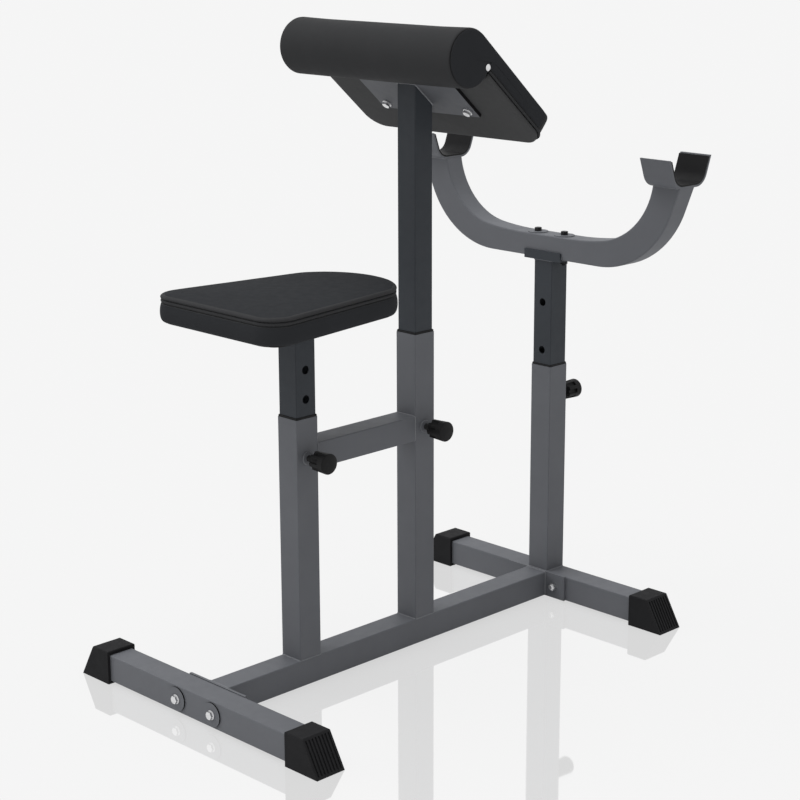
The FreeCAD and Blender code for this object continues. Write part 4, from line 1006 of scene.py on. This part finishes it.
# weld beads, painted over with the tubes, most of them in a lighter paint that is a painted highlight along
# the welds: bead sizes, then heights, half widths and places
weld = {"size": {"Radius": 0.0014, "Waver": 0.0009, "Step": 0.002, "Grain": 420.0, "Sides": 8},
        "corner": 0.003, "boss": 0.0110, "beamTop": 0.0552, "flush": 0.0246, "proud": 0.0254,
        "linkZ": 0.43125, "linkHigh": 0.0236, "linkEnds": (-0.2233, 0.0197), "flangeEnds": (-0.4433, 0.3933),
        "flangeSide": [(0.0252, 0.008), (0.0252, 0.0535), (0.0235, 0.0552)], "post": 0.0231,
        "plateUnder": 0.0062, "seatPlate": 0.6748, "cradle": 0.6948, "cup": (0.295, 0.868, 0.0295, 0.0222)}
# middle of the bead round each boss, and the axis that the boss lies along
bosses = [((0.0252, axes["seat"], 0.4316), 0), ((0.0252, axes["arm"], 0.4315), 0), ((0, 0.4487, 0.417), 1)]


def boxLoop(x, y, z, halfX, halfY, flat):
    r = weld["corner"]
    wide, deep = halfX - r, halfY - r
    corners = [(wide, deep, 0), (-wide, deep, 90), (-wide, -deep, 180), (wide, -deep, 270)]
    loop = []
    for u, v, start in corners:
        for turn in (0, 30, 60, 90):
            a = math.radians(start + turn)
            loop.append((u + r * math.cos(a), v + r * math.sin(a)))
    if flat == "z":
        return [(x + u, y + v, z) for u, v in loop], True
    return [(x + u, y, z + v) for u, v in loop], True


def roundLoop(centre, radius, axis):
    loop = []
    for a in np.linspace(0, 2 * math.pi, 25)[:-1]:
        spot = list(centre)
        others = [i for i in range(3) if i != axis]
        spot[others[0]] += radius * math.cos(a)
        spot[others[1]] += radius * math.sin(a)
        loop.append(spot)
    return loop, True


top, flush, proud, post = [weld[size] for size in ("beamTop", "flush", "proud", "post")]
frameBeads = [boxLoop(0, axes[name], top, flush, proud, "z") for name in ("seat", "arm")]
frameBeads += [boxLoop(0, axes["rack"], top, proud, flush, "z")]
frameBeads += [boxLoop(0, y, weld["linkZ"], flush, weld["linkHigh"], "y") for y in weld["linkEnds"]]
flangeRun = [(-x, z) for x, z in weld["flangeSide"]] + weld["flangeSide"][::-1]
frameBeads += [([(x, y, z) for x, z in flangeRun], False) for y in weld["flangeEnds"]]
frameBeads += [roundLoop(spot, weld["boss"], axis) for spot, axis in bosses]
seatBeads = [boxLoop(0, axes["seat"], weld["seatPlate"], post, post, "z")]
rackBeads = [boxLoop(0, axes["rack"], weld["cradle"], post, post, "z")]
cupX, cupZ, cupLong, cupWide = weld["cup"]
rackBeads += [boxLoop(side * cupX, axes["rack"], cupZ, cupLong, cupWide, "z") for side in (-1, 1)]
armBead = []
for spot in boxLoop(0, axes["arm"], 0, post, post, "z")[0]:
    drop = weld["plateUnder"] + rise.y * (spot[1] - arm["rollY"])
    armBead.append((spot[0], spot[1], arm["rollZ"] - drop / rise.z))
beads = {"armWelds": ("arm_carriage", [(armBead, True)], weldHighlightPaint, "post_paint"),
         "frameWelds": ("frame", frameBeads, weldHighlightPaint, "frame_paint"),
         "seatWelds": ("seat_carriage", seatBeads, postPaint, "post_paint"),
         "rackWelds": ("rack_carriage", rackBeads, weldHighlightPaint, "frame_paint")}
for name, (body, runs, paint, finish) in beads.items():
    piece = grow(name, pathMesh("beadPath", runs), ropeTree(name, paint), **weld["size"])
    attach(piece, body)
print("welds done")

# pale floor with a faint mirror, seen brighter than it lights the object
stage = {"floor": 0.910, "glow": 0.900, "mirror": 0.24, "shade": 0.09, "blur": 0.03, "size": 30.0}
mesh = bpy.data.meshes.new("floor")
reach = stage["size"]
corners = [(-reach, -reach, 0), (reach, -reach, 0), (reach, reach, 0), (-reach, reach, 0)]
mesh.from_pydata(corners, [], [(0, 1, 2, 3)])
floor = placed("floor", mesh)


def seenOrBounced(tree):
    rays = addNode(tree, "ShaderNodeLightPath")
    seen = addNode(tree, "ShaderNodeMath", operation="MAXIMUM")
    either = addNode(tree, "ShaderNodeMath", operation="MAXIMUM")
    mix = addNode(tree, "ShaderNodeMixShader")
    joinAll(tree, (rays, "Is Camera Ray", seen, 0), (rays, "Is Glossy Ray", seen, 1),
            (seen, 0, either, 0), (rays, "Is Transmission Ray", either, 1), (either, 0, mix, 0))
    return mix


paleFloor = bpy.data.materials.new("paleFloor")
paleFloor.use_nodes = True
tree = paleFloor.node_tree
tree.nodes.clear()
output = addNode(tree, "ShaderNodeOutputMaterial")
matte = addNode(tree, "ShaderNodeBsdfDiffuse", Color=(0.8, 0.8, 0.8, 1))
glow = addNode(tree, "ShaderNodeEmission", Color=(stage["glow"],) * 3 + (1,), Strength=1.0)
gloss = addNode(tree, "ShaderNodeBsdfGlossy", Color=(1, 1, 1, 1), Roughness=stage["blur"])
shaded = addNode(tree, "ShaderNodeMixShader", Fac=stage["shade"])
shown = addNode(tree, "ShaderNodeMixShader", Fac=stage["mirror"])
either = seenOrBounced(tree)
joinAll(tree, (glow, 0, shaded, 1), (matte, 0, shaded, 2), (shaded, 0, shown, 1), (gloss, 0, shown, 2),
        (matte, 0, either, 1), (shown, 0, either, 2), (either, 0, output, "Surface"))
mesh.materials.append(paleFloor)

# soft studio light: an even sky, a broad lamp above and a weaker one at the side, both kept out of mirrors
light = {"sky": 0.42, "broad": (2.55, 60.0, (-0.12, -0.10, 1.0)), "side": (0.8, 50.0, (-0.7, -0.5, 0.5))}
world = bpy.data.worlds.new("studio")
scene.world = world
world.use_nodes = True
tree = world.node_tree
tree.nodes.clear()
output = addNode(tree, "ShaderNodeOutputWorld")
sky = addNode(tree, "ShaderNodeBackground", Color=(1, 1, 1, 1), Strength=light["sky"])
back = addNode(tree, "ShaderNodeBackground", Color=(stage["floor"],) * 3 + (1,), Strength=1.0)
either = seenOrBounced(tree)
joinAll(tree, (sky, 0, either, 1), (back, 0, either, 2), (either, 0, output, "Surface"))
for name in ("broad", "side"):
    strength, spread, source = light[name]
    sun = bpy.data.lights.new(name + "Lamp", "SUN")
    sun.energy = strength
    sun.angle = math.radians(spread)
    lamp = placed(name + "Lamp", sun)
    lamp.visible_glossy = False
    lamp.rotation_euler = Vector(source).to_track_quat("Z", "Y").to_euler()

lens = {"length": 87.35, "place": (2.469645, -2.434568, 1.4006), "right": (0.7034, 0.7108, -0.0036),
        "up": (-0.1789, 0.1819, 0.9669), "back": (0.6879, -0.6795, 0.2551)}
view = bpy.data.cameras.new("camera")
view.sensor_width = 36.0
view.lens = lens["length"]
camera = placed("camera", view)
turn = Matrix((lens["right"], lens["up"], lens["back"])).transposed().to_4x4()
camera.matrix_world = Matrix.Translation(lens["place"]) @ turn
scene.camera = camera
print("stage set")
